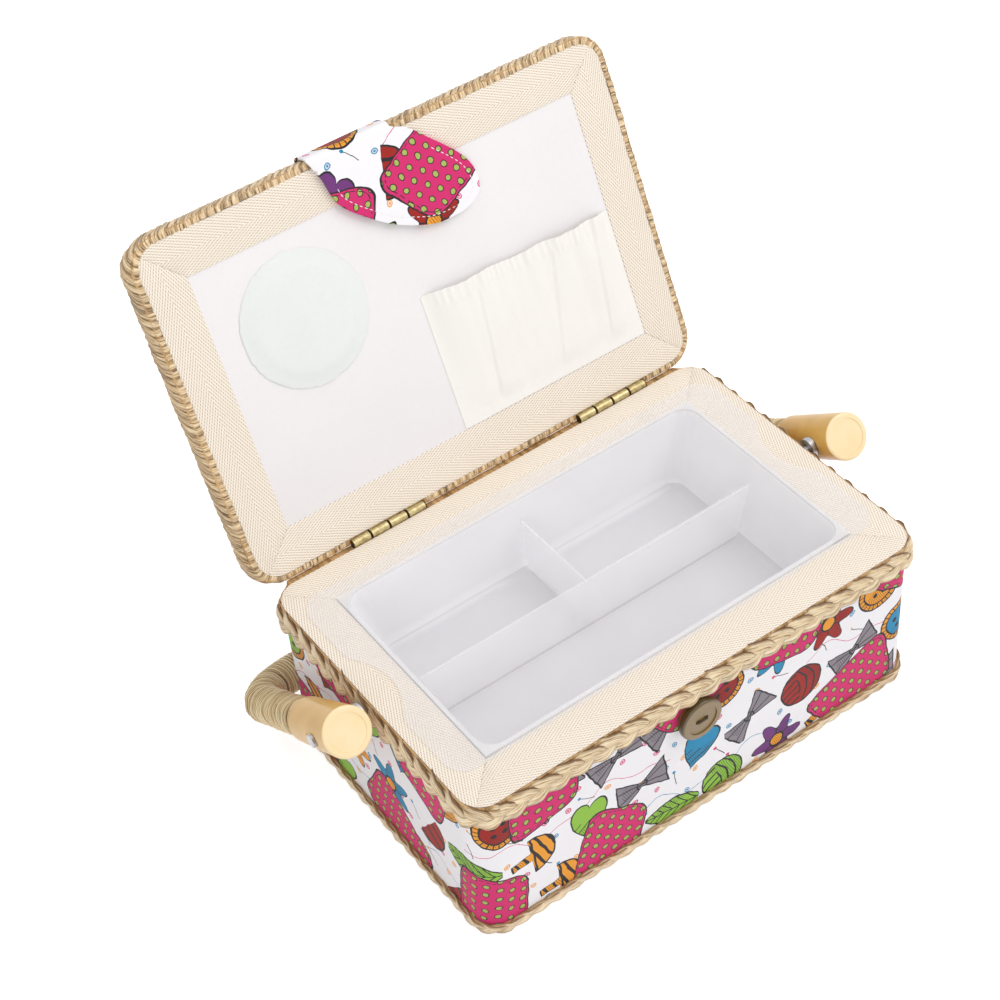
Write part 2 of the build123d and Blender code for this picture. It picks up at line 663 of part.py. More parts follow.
flange_x = tray_outer_x + flange_end_width
flange_low_y = -tray_outer_y - flange_front_width
flange_high_y = tray_outer_y + flange_back_width
flange = extrude(Pos(0, (flange_low_y + flange_high_y) / 2, flange_bottom)
                 * Rectangle(2 * flange_x, flange_high_y - flange_low_y), flange_thickness)
notch_radius = (flange_notch_half ** 2 + flange_notch_depth ** 2) / (2 * flange_notch_depth)
for side in (-1, 1):
    notch_x = side * (flange_x - flange_notch_depth + notch_radius)
    flange -= rod_z(notch_radius, 0, 2 * box_height, notch_x, flange_notch_y)
uprights = flange.edges().filter_by(Axis.Z)
notch_edges = [e for e in uprights
               if flange_low_y + edge_match < e.center().Y < flange_high_y - edge_match]
flange = fillet(notch_edges, flange_notch_round)
corner_edges = [e for e in flange.edges().filter_by(Axis.Z)
                if min(e.center().Y - flange_low_y, flange_high_y - e.center().Y) < edge_match]
flange = fillet(corner_edges, flange_corner_radius)
tray = flange + tray_form(0, tray_bottom, tray_top, tray_floor_round + tray_wall)
tray -= tray_form(tray_wall, tray_floor_top, tray_top + cut_past, tray_floor_round)
save("tray", tray)

divider_top = tray_top - divider_drop
divider_bottom = tray_floor_top + divider_floor_gap


def divider_half(level, outer, draft):
    """Reach of a divider plate at a level, clear of the tray's sloping wall."""
    return outer - tray_wall - draft * (tray_top - level) - divider_end_gap


long_top = divider_half(divider_top, tray_outer_x, tray_end_draft)
long_low = divider_half(divider_bottom, tray_outer_x, tray_end_draft)
cross_top = divider_half(divider_top, tray_outer_y, tray_side_draft)
cross_low = divider_half(divider_bottom, tray_outer_y, tray_side_draft)
long_face = make_face(Polyline((-long_low, 0, divider_bottom), (long_low, 0, divider_bottom),
                               (long_top, 0, divider_top), (-long_top, 0, divider_top), close=True))
long_plate = extrude(long_face, divider_thickness / 2, dir=(0, 1, 0), both=True)
long_plate = fillet(long_plate.edges().filter_by(Axis.Y).group_by(Axis.Z)[0], divider_corner_radius)
cross_face = make_face(Polyline((0, 0, divider_bottom), (0, cross_low - divider_y, divider_bottom),
                                (0, cross_top - divider_y, divider_top), (0, 0, divider_top),
                                close=True))
cross_plate = extrude(cross_face, divider_thickness / 2, dir=(1, 0, 0), both=True)
cross_edges = cross_plate.edges().filter_by(Axis.X).group_by(Axis.Z)[0].sort_by(Axis.Y)
cross_plate = fillet(cross_edges[-1], divider_corner_radius)
save("tray_divider", Pos(0, divider_y, 0) * (long_plate + Pos(divider_cross_x, 0, 0) * cross_plate))

print("handle slope", round(handle_slope, 3), "hinge axis", hinge_y, round(hinge_z, 3))
print("lid fold", round(fold_reach, 3), round(fold_level, 3), "crease", round(crease_reach, 3))
print("tray floor", round(tray_floor_top, 3), "tray top", round(tray_top, 3))
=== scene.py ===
import json
import math
import bpy
from mathutils import Matrix, Vector, noise


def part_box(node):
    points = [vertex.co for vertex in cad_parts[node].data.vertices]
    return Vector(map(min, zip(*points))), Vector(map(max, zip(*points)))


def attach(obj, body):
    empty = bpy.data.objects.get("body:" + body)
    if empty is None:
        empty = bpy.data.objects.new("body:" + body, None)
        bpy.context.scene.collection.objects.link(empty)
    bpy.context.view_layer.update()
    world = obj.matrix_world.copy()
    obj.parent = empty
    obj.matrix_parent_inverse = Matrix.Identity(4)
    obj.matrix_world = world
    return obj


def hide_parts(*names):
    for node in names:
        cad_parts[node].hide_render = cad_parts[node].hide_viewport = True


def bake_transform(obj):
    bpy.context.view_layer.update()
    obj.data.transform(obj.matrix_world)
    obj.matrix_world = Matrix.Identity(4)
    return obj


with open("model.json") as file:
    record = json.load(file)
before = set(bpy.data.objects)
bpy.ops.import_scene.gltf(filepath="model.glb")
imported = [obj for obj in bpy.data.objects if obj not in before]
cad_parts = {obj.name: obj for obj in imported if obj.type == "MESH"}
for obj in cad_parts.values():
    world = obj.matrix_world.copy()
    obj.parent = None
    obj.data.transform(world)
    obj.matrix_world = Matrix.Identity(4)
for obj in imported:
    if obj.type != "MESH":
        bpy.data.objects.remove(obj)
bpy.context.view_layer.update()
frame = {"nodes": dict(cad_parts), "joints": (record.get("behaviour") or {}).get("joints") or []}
mm = 0.001
fullTurn = 2 * math.pi
noise.seed_set(7)                   # the straw's wobble is then the same in every run
print("frame loaded with", len(frame["nodes"]), "nodes")


# modelling helpers

def editDone():
    bpy.ops.object.mode_set(mode="OBJECT")


def deselectAll():
    if bpy.context.mode != "OBJECT":
        editDone()
    bpy.ops.object.select_all(action="DESELECT")


def selectOnly(piece):
    deselectAll()
    piece.select_set(True)
    bpy.context.view_layer.objects.active = piece


def editAll(piece):
    selectOnly(piece)
    bpy.ops.object.mode_set(mode="EDIT")
    bpy.ops.mesh.select_all(action="SELECT")


def editPicked(piece, test):        # only the points that pass, and the edges between them
    selectOnly(piece)
    mesh = piece.data
    for vertex in mesh.vertices:
        vertex.select = test(vertex.co)
    for edge in mesh.edges:
        edge.select = all(mesh.vertices[end].select for end in edge.vertices)
    for face in mesh.polygons:
        face.select = False
    bpy.ops.object.mode_set(mode="EDIT")


def named(name):
    piece = bpy.context.object      # the primitive that was just added
    piece.name = name
    piece.data.name = name
    return piece


def applyModifier(piece, kind, **values):
    selectOnly(piece)
    modifier = piece.modifiers.new(kind, kind)
    for key, value in values.items():
        setattr(modifier, key, value)
    bpy.ops.object.modifier_apply(modifier=modifier.name)


def thicken(piece, thickness, offset=-1.0):
    applyModifier(piece, "SOLIDIFY", thickness=thickness, offset=offset)


def roundEdges(piece, width, segments=2, angle=30):
    applyModifier(piece, "BEVEL", width=width, segments=segments, limit_method="ANGLE",
                  angle_limit=math.radians(angle))


def subdivide(piece, levels):
    applyModifier(piece, "SUBSURF", levels=levels, render_levels=levels)


def applyPlace(piece, place=None):
    if place is not None:
        piece.matrix_world = place @ piece.matrix_world
    selectOnly(piece)
    bpy.ops.object.transform_apply(location=True, rotation=True, scale=True)


def movePoints(piece, place):
    for vertex in piece.data.vertices:
        vertex.co = place(vertex.co.copy())
    piece.data.update()


def mapCloth(piece, place):         # a UV map in metres, so a pattern keeps its size
    mesh = piece.data
    layer = mesh.uv_layers.active or mesh.uv_layers.new(name="UVMap")
    for face in mesh.polygons:
        for corner in face.loop_indices:
            layer.data[corner].uv = place(mesh.vertices[mesh.loops[corner].vertex_index].co, face)


def layFlat(co, face):
    return co.x, co.y


def turnOutward(piece, gap=0.0):    # points closer than the gap are merged first
    editAll(piece)
    if gap:
        bpy.ops.mesh.remove_doubles(threshold=gap)
    bpy.ops.mesh.normals_make_consistent(inside=False)
    editDone()


def weld(piece):
    turnOutward(piece, 0.02 * mm)


def faceUp(piece, above=-1.0):      # an open sheet's faces, or those above a level, look up
    if sum(face.normal.z * face.area for face in piece.data.polygons
           if face.center.z > above) < 0:
        editAll(piece)
        bpy.ops.mesh.flip_normals()
        editDone()


def join(name, pieces):
    selectOnly(pieces[0])
    for piece in pieces:
        piece.select_set(True)
    bpy.ops.object.join()
    return named(name)


def formedGrid(name, steps, rows, place):       # grid whose points go to place(u, v)
    deselectAll()
    bpy.ops.mesh.primitive_grid_add(x_subdivisions=steps, y_subdivisions=rows, size=1)
    grid = named(name)
    movePoints(grid, lambda co: Vector(place(co.x + 0.5, co.y + 0.5)))
    return grid


def flatPlane(name, halfX, halfY, middleY=0.0, height=0.0):
    deselectAll()
    bpy.ops.mesh.primitive_plane_add(size=2, location=(0, middleY, height))
    plane = named(name)
    plane.scale = (halfX, halfY, 1)
    applyPlace(plane)
    return plane


def roundCorners(radius, segments):
    bpy.ops.mesh.bevel(affect="VERTICES", offset=radius, segments=segments)
    editDone()


def roundedOutline(name, halfX, halfY, radius, middleY=0.0, height=0.0):
    outline = flatPlane(name, halfX, halfY, middleY, height)
    editAll(outline)
    roundCorners(radius, 12)
    return outline


def extrudeUp(height):
    bpy.ops.mesh.extrude_region_move(TRANSFORM_OT_translate={"value": (0, 0, height)})


def makeSlab(outline, height):      # a flat outline becomes a closed block
    editAll(outline)
    extrudeUp(height)
    weld(outline)


def cutAlong(point, normal, clearOuter=False):
    bpy.ops.mesh.select_all(action="SELECT")
    bpy.ops.mesh.bisect(plane_co=point, plane_no=normal, clear_outer=clearOuter)


def emptyOutline(outline):
    editAll(outline)
    bpy.ops.mesh.delete(type="ONLY_FACE")
    editDone()


def pathAlong(outline, cuts):       # a curve along the edges, with pieces on it kept upright
    editAll(outline)
    bpy.ops.mesh.subdivide(number_cuts=cuts)
    editDone()
    bpy.ops.object.convert(target="CURVE")
    path = bpy.context.object
    path.data.twist_mode = "Z_UP"
    return path


def loopPath(*outline):             # closed, and starts at the front left corner
    loop = roundedOutline(*outline)
    emptyOutline(loop)
    return pathAlong(loop, 3)


def pitchOn(path, count):
    return path.data.splines[0].calc_length() / count


def repeatAlong(unit, path, count):             # the unit runs along +X for one pitch
    applyModifier(unit, "ARRAY", use_relative_offset=False, use_constant_offset=True,
                  constant_offset_displace=(pitchOn(path, count), 0, 0), count=count,
                  offset_u=1.0, use_merge_vertices=True, merge_threshold=0.01 * mm)
    applyModifier(unit, "CURVE", object=path, deform_axis="POS_X")
    bpy.data.objects.remove(path, do_unlink=True)


def finishPiece(piece, body, material, nodes=(), smooth=35):
    selectOnly(piece)
    bpy.ops.object.shade_smooth_by_angle(angle=math.radians(smooth))
    piece.data.materials.clear()
    piece.data.materials.append(material)
    if body:
        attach(piece, body)
    if nodes:
        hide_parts(*nodes)


def clamp(value):
    return min(max(value, 0.0), 1.0)


def smoothStep(low, high, value):
    part = clamp((value - low) / (high - low))
    return part * part * (3 - 2 * part)


def handWobble(co, *layers):        # a frequency and a size for each layer of noise
    return sum((noise.noise_vector(co * frequency) * size for frequency, size in layers),
               Vector((0, 0, 0)))


# the lid and the handle have their own frames: X along the hinges, Y away from the pivots
joints = {joint["name"]: joint for joint in frame["joints"]}


def jointFrame(name, angle):
    return Matrix.Translation(joints[name]["pos_m"]) @ Matrix.Rotation(angle, 4, "X")


lidAngle = math.pi + math.radians(joints["lid_hinge"]["range_deg"][0])
lidFrame = jointFrame("lid_hinge", lidAngle)
handleFall = math.radians(35.769)   # how far the handle hangs below level
handleFrame = jointFrame("handle_swing", -handleFall)


# node tree helpers

def mathStep(operation):
    return lambda self, *others: self.step(operation, *others)


class Wire:                         # one value in a node tree; sums with it add Math nodes
    def __init__(self, socket):
        self.socket = socket
        self.tree = socket.id_data

    def step(self, operation, *others):
        sockets = dict(enumerate((self, *others)))
        return Wire(addNode(self.tree, "Math", sockets, operation=operation).outputs[0])

    __add__, __sub__ = mathStep("ADD"), mathStep("SUBTRACT")
    __mul__, __truediv__ = mathStep("MULTIPLY"), mathStep("DIVIDE")
    under, over = mathStep("LESS_THAN"), mathStep("GREATER_THAN")
    both, either = mathStep("MINIMUM"), mathStep("MAXIMUM")
    size, fraction, whole = mathStep("ABSOLUTE"), mathStep("FRACT"), mathStep("FLOOR")
    sine, cosine, power = mathStep("SINE"), mathStep("COSINE"), mathStep("POWER")

    def reach(self, other):         # length of the two as sides of a right angle
        return (self * self + other * other).step("SQRT")

    def clamped(self):
        return self.either(0.0).both(1.0)

    def reversed(self):
        return self * -1 + 1


def feed(value, socket):            # links a wire or a socket, and sets anything else
    value = getattr(value, "socket", value)
    if isinstance(value, bpy.types.NodeSocket):
        socket.id_data.links.new(value, socket)
    elif socket.type == "RGBA":
        socket.default_value = (*value, 1)
    else:
        socket.default_value = value


def addNode(tree, kind, sockets=None, **settings):
    node = tree.nodes.new("ShaderNode" + kind)
    for key, value in settings.items():
        setattr(node, key, value)
    for key, value in (sockets or {}).items():
        feed(value, node.inputs[key])
    return node


def wiresOf(node):
    return {output.name: Wire(output) for output in node.outputs}


def partsOf(value, kind="SeparateXYZ"):         # three wires
    return wiresOf(addNode(value.tree, kind, {0: value})).values()


def noiseAt(place, scale, detail, roughness=0.5, output="Fac"):
    sockets = {"Vector": place, "Scale": scale, "Detail": detail, "Roughness": roughness}
    return wiresOf(addNode(place.tree, "TexNoise", sockets))[output]


def mixed(tree, factor, first, second, blend="MIX"):
    sockets = {0: factor, 6: first, 7: second}
    return Wire(addNode(tree, "Mix", sockets, data_type="RGBA", blend_type=blend).outputs[2])


def linear(code):                   # a colour written as it looks, such as "f6e6cf"
    parts = [int(code[place:place + 2], 16) / 255 for place in (0, 2, 4)]
    return tuple(((part + 0.055) / 1.055) ** 2.4 if part > 0.04045 else part / 12.92
                 for part in parts)


def newGroup(name, outputs, **inputs):          # Place is a vector and the other inputs are numbers
    tree = bpy.data.node_groups.new(name, "ShaderNodeTree")
    tree.interface.new_socket(name="Place", in_out="INPUT", socket_type="NodeSocketVector")
    for label, value in inputs.items():
        socket = tree.interface.new_socket(name=label, in_out="INPUT",
                                           socket_type="NodeSocketFloat")
        socket.default_value = value
    for label in outputs:
        kind = "NodeSocketColor" if label == "Color" else "NodeSocketFloat"
        tree.interface.new_socket(name=label, in_out="OUTPUT", socket_type=kind)
    source = wiresOf(tree.nodes.new("NodeGroupInput"))
    return tree, source, tree.nodes.new("NodeGroupOutput").inputs


def useGroup(tree, group, **sockets):
    return wiresOf(addNode(tree, "Group", sockets, node_tree=group))


def newMaterial(name, **values):    # constants go on the Principled shader's own sockets
    material = bpy.data.materials.new(name)
    material.use_nodes = True
    tree = material.node_tree
    shader = tree.nodes["Principled BSDF"]
    for key, value in values.items():
        feed(value, shader.inputs[key.replace("_", " ")])
    return material, tree, shader


def coat(shader, colour, height, strength, distance):       # colour and relief
    feed(colour, shader.inputs["Base Color"])
    bump = addNode(shader.id_data, "Bump",
                   {"Height": height, "Strength": strength, "Distance": distance})
    feed(bump.outputs[0], shader.inputs["Normal"])


# printed cotton: sewing motifs scattered in staggered rows
printLook = {
    "cell": 33 * mm,
    "dotCell": 13 * mm,
    "patchCell": 74 * mm,
    "wander": 1.6 * mm,
    "thread": 0.22 * mm,
    "penLine": 0.026,
    "ground": linear("f7f5f8"),
    "ink": linear("1d1a1e"),
    "pink": (0.67, 0.019, 0.156),
    "amber": (0.87, 0.35, 0.026),
    "blue": (0.015, 0.26, 0.48),
    "red": (0.34, 0.01, 0.004),
    "green": (0.28, 0.54, 0.055),
    "purple": (0.156, 0.032, 0.188),
    "grey": (0.26, 0.23, 0.26),
    "olive": (0.40, 0.50, 0.11),
}


def palette(choice, *colours):
    ramp = addNode(choice.tree, "ValToRGB", {"Fac": choice})
    ramp.color_ramp.interpolation = "CONSTANT"
    stops = ramp.color_ramp.elements
    while len(stops) < len(colours):
        stops.new(len(stops) / len(colours))
    for place, colour in enumerate(colours):
        stops[place].position = place / len(colours)
        stops[place].color = (*printLook[colour], 1)
    return ramp.outputs[0]


def scatter(x, y, cell, shift, seed, wander):   # each cell's own turned X and Y, and three chances
    row = ((y + shift) / cell).whole()
    across = (x + shift) / cell + (row * 0.5).fraction()
    key = addNode(x.tree, "CombineXYZ", {"X": across.whole(), "Y": row, "Z": seed})
    chance = wiresOf(addNode(x.tree, "TexWhiteNoise", {"Vector": key.outputs[0]},
                             noise_dimensions="3D"))
    first, second, third = partsOf(chance["Color"], "SeparateColor")
    localX = (across.fraction() - 0.5) * 2 + (second - 0.5) * wander
    localY = (((y + shift) / cell).fraction() - 0.5) * 2 + (third - 0.5) * wander
    turn = first * fullTurn
    turnedX = localX * turn.cosine() + localY * turn.sine()
    turnedY = localY * turn.cosine() - localX * turn.sine()
    return turnedX, turnedY, chance["Value"], second, third


def buildPrint():
    look = printLook
    tree, source, sink = newGroup("printedMotifs", ["Color"])
    sway = noiseAt(source["Place"], 160.0, 1.0, output="Color")
    swayX, swayY, swayInk = partsOf(sway, "SeparateColor")
    placeX, placeY, placeZ = partsOf(source["Place"])
    x = placeX + (swayX - 0.5) * look["wander"]     # hand drawn edges wander a little
    y = placeY + (swayY - 0.5) * look["wander"]
    colour = look["ground"]

    def paint(mask, fill):
        nonlocal colour
        colour = mixed(tree, mask, colour, fill)

    # loose threads
    for level, hue, seed in ((0.2, "blue", 1.7), (0.66, "pink", 4.1)):
        wave = (x * 95 + seed).sine() * 0.005 + (x * 230 + seed * 3).sine() * 0.0022
        fold = ((y + wave) / (look["cell"] * 2) + level).fraction() - 0.5
        line = (fold * (look["cell"] * 2)).size().under(look["thread"])
        paint(line * (x * 31 + seed).sine().over(-0.25), look[hue])
    # small spots and rings
    px, py, chance, second, third = scatter(x, y, look["dotCell"], 0.0, 3.0, 0.7)
    radius = px.reach(py * 1.25)
    spotColour = palette(second, "pink", "blue", "amber")
    ring = (radius * 30).sine().over(0.0)
    paint(radius.under(0.3) * chance.over(0.42) * (ring * 0.65 + 0.35), spotColour)
    # loose pins with round heads
    few = chance.under(0.2)
    paint(px.size().under(0.035) * (py - 0.1).size().under(0.8) * few, look["ink"])
    paint(px.reach(py - 0.86).under(0.16) * few, spotColour)
    # large motifs
    px, py, chance, second, third = scatter(x, y, look["cell"], 0.006, 11.0, 0.16)
    px, py = px * 0.86, py * 0.86
    radius = px.reach(py)
    angle = py.step("ARCTAN2", px)
    sizeX, sizeY = px.size(), py.size()
    choice = (chance * 8).whole()
    bright = palette(third, "amber", "blue", "red", "green", "purple")
    other = palette(second, "blue", "purple", "amber", "red", "green")
    ink = filled = None

    def motif(number, edge, fill, *details):    # filled inside its edge, and drawn round it
        nonlocal ink, filled
        chosen = (choice - number).size().under(0.5)
        inside = chosen * edge.under(0)
        filled = inside if filled is None else filled.either(inside)
        paint(inside, fill)
        marks = edge.size().under(look["penLine"])
        for detail in details:
            marks = marks.either(detail * edge.under(0))
        marks = marks * chosen
        ink = marks if ink is None else ink.either(marks)
        return chosen

    # button with four holes and a rim
    holes = (sizeX - 0.15).reach(sizeY - 0.15)
    chosen = motif(0, radius - 0.68, look["amber"], holes.under(0.08),
                   (radius - 0.5).size().under(0.025),
                   (angle * 24).sine().over(0.8) * radius.over(0.52))
    paint(chosen * radius.under(0.49) * holes.over(0.08), bright)
    # daisy
    petals = (angle * 6).cosine()
    heart = radius - 0.22
    chosen = motif(1, radius - petals * 0.2 - 0.62, other,
                   (petals + 0.94).under(0) * radius.over(0.24), heart.size().under(0.03))
    paint(chosen * heart.under(0), look["amber"])
    # ball of yarn
    windings = ((px + sizeY * py * 0.5) * 26).sine().over(0.7) * py.over(0.1)
    windings = windings.either(((py - px * px * 0.6) * 26).sine().over(0.7) * py.under(0.1))
    motif(2, radius - 0.66, other, windings)
    # leaf
    veins = ((px - sizeY * 1.1) * 24).sine().over(0.82)
    motif(3, sizeY - (px * px * -0.42 + 0.4), look["green"], sizeY.under(0.018), veins)
    # ribbon bow
    motif(4, (sizeY - sizeX * 0.62 - 0.07).either(sizeX - 0.76), look["grey"],
          (sizeY - sizeX * 0.3).size().under(0.02), (radius - 0.15).size().under(0.025))
    # mushroom cap and striped stalk
    cap = radius.either((py * -1 - 0.02) * 20) - 0.66
    motif(5, cap, look["red"], (px * 15).sine().over(0.75))
    stalk = (sizeX * 2.6 - 0.36).either((py + 0.3).size() - 0.34)
    motif(6, stalk.both(cap), look["amber"], ((py - px * 0.3) * 22).sine().over(0.55),
          (py - 0.02).size().under(0.03))
    # heart
    heartX = sizeX * 1.12
    lobes = heartX.reach(py * 1.1 - (heartX + 0.0001).step("SQRT") * 0.62 + 0.16) - 0.62
    motif(7, lobes, bright, ((px - py) * 20).sine().over(0.9) * py.under(0))
    # quick pen strokes shade the lower side of each motif
    stroke = ((x + y * 0.45) * 5200 + (swayInk - 0.5) * 9).sine().over(0.72)
    shadow = (py * 0.9 - px * 0.4 + (third - 0.5) * 0.4).under(-0.05) * radius.under(0.62)
    paint(filled * stroke * shadow * 0.75, look["ink"])
    paint(ink, look["ink"])
    # large dotted patches lie over the rest
    px, py, chance, second, third = scatter(x, y, look["patchCell"], 0.021, 23.0, 0.3)
    sizeX = (px * (py * 0.35 + 1.0)).size()
    patch = (sizeX.power(5.0) + (py.size() * 1.25).power(5.0)).power(0.2) - 0.66
    dotPitch = 5.6                  # dots to half a cell
    dotX = (px * dotPitch + (py * dotPitch).whole() * 0.5).fraction() - 0.5
    dotY = (py * dotPitch).fraction() - 0.5
    dot = (dotX * 1.15).reach(dotY)
    laid = chance.over(0.12)
    inside = patch.under(0) * laid
    stitched = (patch + 0.05).size().under(0.006) * ((px + py) * 60).sine().over(-0.3)
    paint(inside, look["pink"])
    paint(inside * dot.under(0.3), look["ink"])
    paint(inside * (dot + 0.05).under(0.27), look["olive"])
    paint(inside * stitched, look["ink"])
    paint(patch.size().under(0.012) * laid, look["ink"])
    feed(colour, sink["Color"])
    return tree


def buildWeave():                   # plain weave with slubs
    tree, source, sink = newGroup("plainWeave", ["Height", "Shade"], Pitch=0.5 * mm)
    x, y, z = partsOf(source["Place"])
    warp = (x / source["Pitch"] * fullTurn).sine()
    weft = (y / source["Pitch"] * fullTurn).sine()
    slub = noiseAt(source["Place"], 420.0, 3.0)
    drift = noiseAt(source["Place"], 26.0, 2.0)
    feed(warp * weft * 0.25 + slub * 0.9, sink["Height"])
    feed((drift - 0.5) * 0.5 + (slub - 0.5) * 0.4 + 0.5, sink["Shade"])
    return tree


def buildHerringbone():             # two columns of slanted ribs that meet at the tape's middle
    tree, source, sink = newGroup("herringboneTwill", ["Height", "GrooveShade", "DotShade"],
                                  Pitch=2.9 * mm, Middle=11.2 * mm)
    x, y, z = partsOf(source["Place"])
    along = x + (noiseAt(source["Place"], 180.0, 1.0) - 0.5) * (0.8 * mm)
    across = (y - source["Middle"]).size()
    rib = ((along - across * 2.0) / source["Pitch"] * fullTurn).cosine() * 0.5 + 0.5
    thread = (across / (0.7 * mm) * fullTurn).cosine() * 0.5 + 0.5
    # the grooves between the ribs, and the dots along them, are masks for painted shade
    grooveShade = rib.reversed().power(3.0)
    feed(rib + thread * 0.25 + noiseAt(source["Place"], 900.0, 2.0) * 0.3, sink["Height"])
    feed(grooveShade, sink["GrooveShade"])
    feed(grooveShade * thread.power(2.0), sink["DotShade"])
    return tree


def buildFibre():                   # long fibres that run with U on a strand's own UV map
    tree, source, sink = newGroup("strawFibre", ["Height", "Streak", "Patch", "Rim", "Dip"],
                                  Along=3.0, Around=24.0, Sharp=9.0)
    u, v, w = partsOf(source["Place"])
    along, around = u * source["Along"], v * source["Around"]
    line = Wire(addNode(tree, "CombineXYZ", {"X": along, "Y": around}).outputs[0])
    wide = Wire(addNode(tree, "CombineXYZ",
                        {"X": along * 0.6, "Y": around * 0.2, "Z": 7.0}).outputs[0])
    streak = noiseAt(line, 1.0, 3.0, 0.6)
    feed(streak, sink["Height"])
    feed((streak - 0.5) * 3.4 + 0.5, sink["Streak"])
    feed((noiseAt(wide, 1.0, 2.0) - 0.5) * 2.6 + 0.5, sink["Patch"])
    # a strand's two edges sit in shade, and so does the stretch that dips under the others
    feed((v * fullTurn).sine().size().power(source["Sharp"]), sink["Rim"])
    feed((u * (2 * fullTurn)).sine().either(0.0).power(2.0), sink["Dip"])
    return tree


def buildWear():                    # faint scuffs and dullness on hard pieces
    tree, source, sink = newGroup("handledSurface", ["Shade", "Height"], Scale=90.0)
    feed((noiseAt(source["Place"], source["Scale"], 4.0) - 0.5) * 1.6 + 0.5, sink["Shade"])
    feed(noiseAt(source["Place"], 1400.0, 2.0), sink["Height"])
    return tree


printGroup = buildPrint()
weaveGroup = buildWeave()
twillGroup = buildHerringbone()
fibreGroup = buildFibre()
wearGroup = buildWear()
print("node groups built")


def placeNode(tree, output="Object"):           # or "UV"
    return wiresOf(addNode(tree, "TexCoord"))[output]


def printMaterial(name, output, turn=0.0, shift=(0.0, 0.0, 0.0)):
    material, tree, shader = newMaterial(name, Roughness=0.82, Sheen_Weight=0.08)
    mapping = addNode(tree, "Mapping", {"Vector": placeNode(tree, output),
                                        "Rotation": (turn, 0, 0), "Location": shift})
    motifs = useGroup(tree, printGroup, Place=mapping.outputs[0])
    weave = useGroup(tree, weaveGroup, Place=mapping.outputs[0], Pitch=0.6 * mm)
    colour = mixed(tree, weave["Shade"] * 0.12, motifs["Color"], linear("d9d3dc"), "MULTIPLY")
    coat(shader, colour, weave["Height"], 0.25, 0.15 * mm)
    return material


def tapeMaterial():
    material, tree, shader = newMaterial("creamTwill", Roughness=0.88, Sheen_Weight=0.12)
    place = placeNode(tree, "UV")
    ribs = useGroup(tree, twillGroup, Place=place)
    weave = useGroup(tree, weaveGroup, Place=place, Pitch=0.9 * mm)
    colour = mixed(tree, weave["Shade"], linear("f4e7d5"), linear("fcf3e7"))
    # painted shade: the grooves between the ribs and the dots along them are painted darker
    colour = mixed(tree, ribs["GrooveShade"] * 0.3, colour, linear("dfcab0"))
    colour = mixed(tree, ribs["DotShade"], colour, linear("917559"))
    coat(shader, colour, ribs["Height"], 0.5, 0.25 * mm)
    return material


def strawMaterial(name, light, middle, dark, along, around, rim=0.0, dip=0.0, sharp=9.0,
                  output="UV"):
    material, tree, shader = newMaterial(name, Roughness=0.46, Sheen_Weight=0.05)
    fibre = useGroup(tree, fibreGroup, Place=placeNode(tree, output), Along=along,
                     Around=around, Sharp=sharp)
    streak, patch = fibre["Streak"].clamped(), fibre["Patch"].clamped()
    colour = mixed(tree, streak, linear(middle), linear(light))
    # patches and streaks are the straw's own darker tone; the rim and dip masks add painted shade
    # on a strand's edges and where it dips under the others
    for mask, share in ((patch.reversed().power(4.0), 0.6), (streak.reversed().power(3.0), 0.75),
                        (fibre["Rim"], rim), (fibre["Dip"], dip)):
        if share:
            colour = mixed(tree, mask * share, colour, linear(dark))
    coat(shader, colour, fibre["Height"], 0.9, 0.8 * mm)
    return material


def clothMaterial(name, light, dark, pitch, output="UV", roughness=0.9, sheen=0.15,
                  depth=0.2 * mm):
    material, tree, shader = newMaterial(name, Roughness=roughness, Sheen_Weight=sheen)
    weave = useGroup(tree, weaveGroup, Place=placeNode(tree, output), Pitch=pitch)
    colour = mixed(tree, weave["Shade"], linear(dark), linear(light))
    coat(shader, colour, weave["Height"], 0.3, depth)
    return material


def hardMaterial(name, light, dark, roughness, scale, grain, metallic=0.0):
    material, tree, shader = newMaterial(name, Metallic=metallic)
    wear = useGroup(tree, wearGroup, Place=placeNode(tree), Scale=scale)
    shade = wear["Shade"].clamped()
    feed(shade * 0.12 + roughness, shader.inputs["Roughness"])
    coat(shader, mixed(tree, shade, linear(dark), linear(light)), wear["Height"], grain, 0.1 * mm)
    return material


printOnBox = printMaterial("printedCotton", "UV")
printOnLid = printMaterial("printedCottonLid", "Object", -lidAngle, (13 * mm, 20 * mm, 0.0))
printOnTab = printMaterial("printedCottonTab", "UV", 0.0, (60.5 * mm, 12.5 * mm, 0.0))
twill = tapeMaterial()
braidStraw = strawMaterial("platedStraw", "fff0d0", "ebc48c", "6b4419", 3.0, 26.0, 1.0, 0.25, 6.0)
footStraw = strawMaterial("twistedStraw", "fff0d2", "eecb9b", "8f6a38", 2.6, 15.0, 0.85, 0.2, 6.0)
ropeStraw = strawMaterial("boundStraw", "ffe9c2", "ddb077", "4e3214", 1.8, 14.0, 1.0, sharp=4.5)
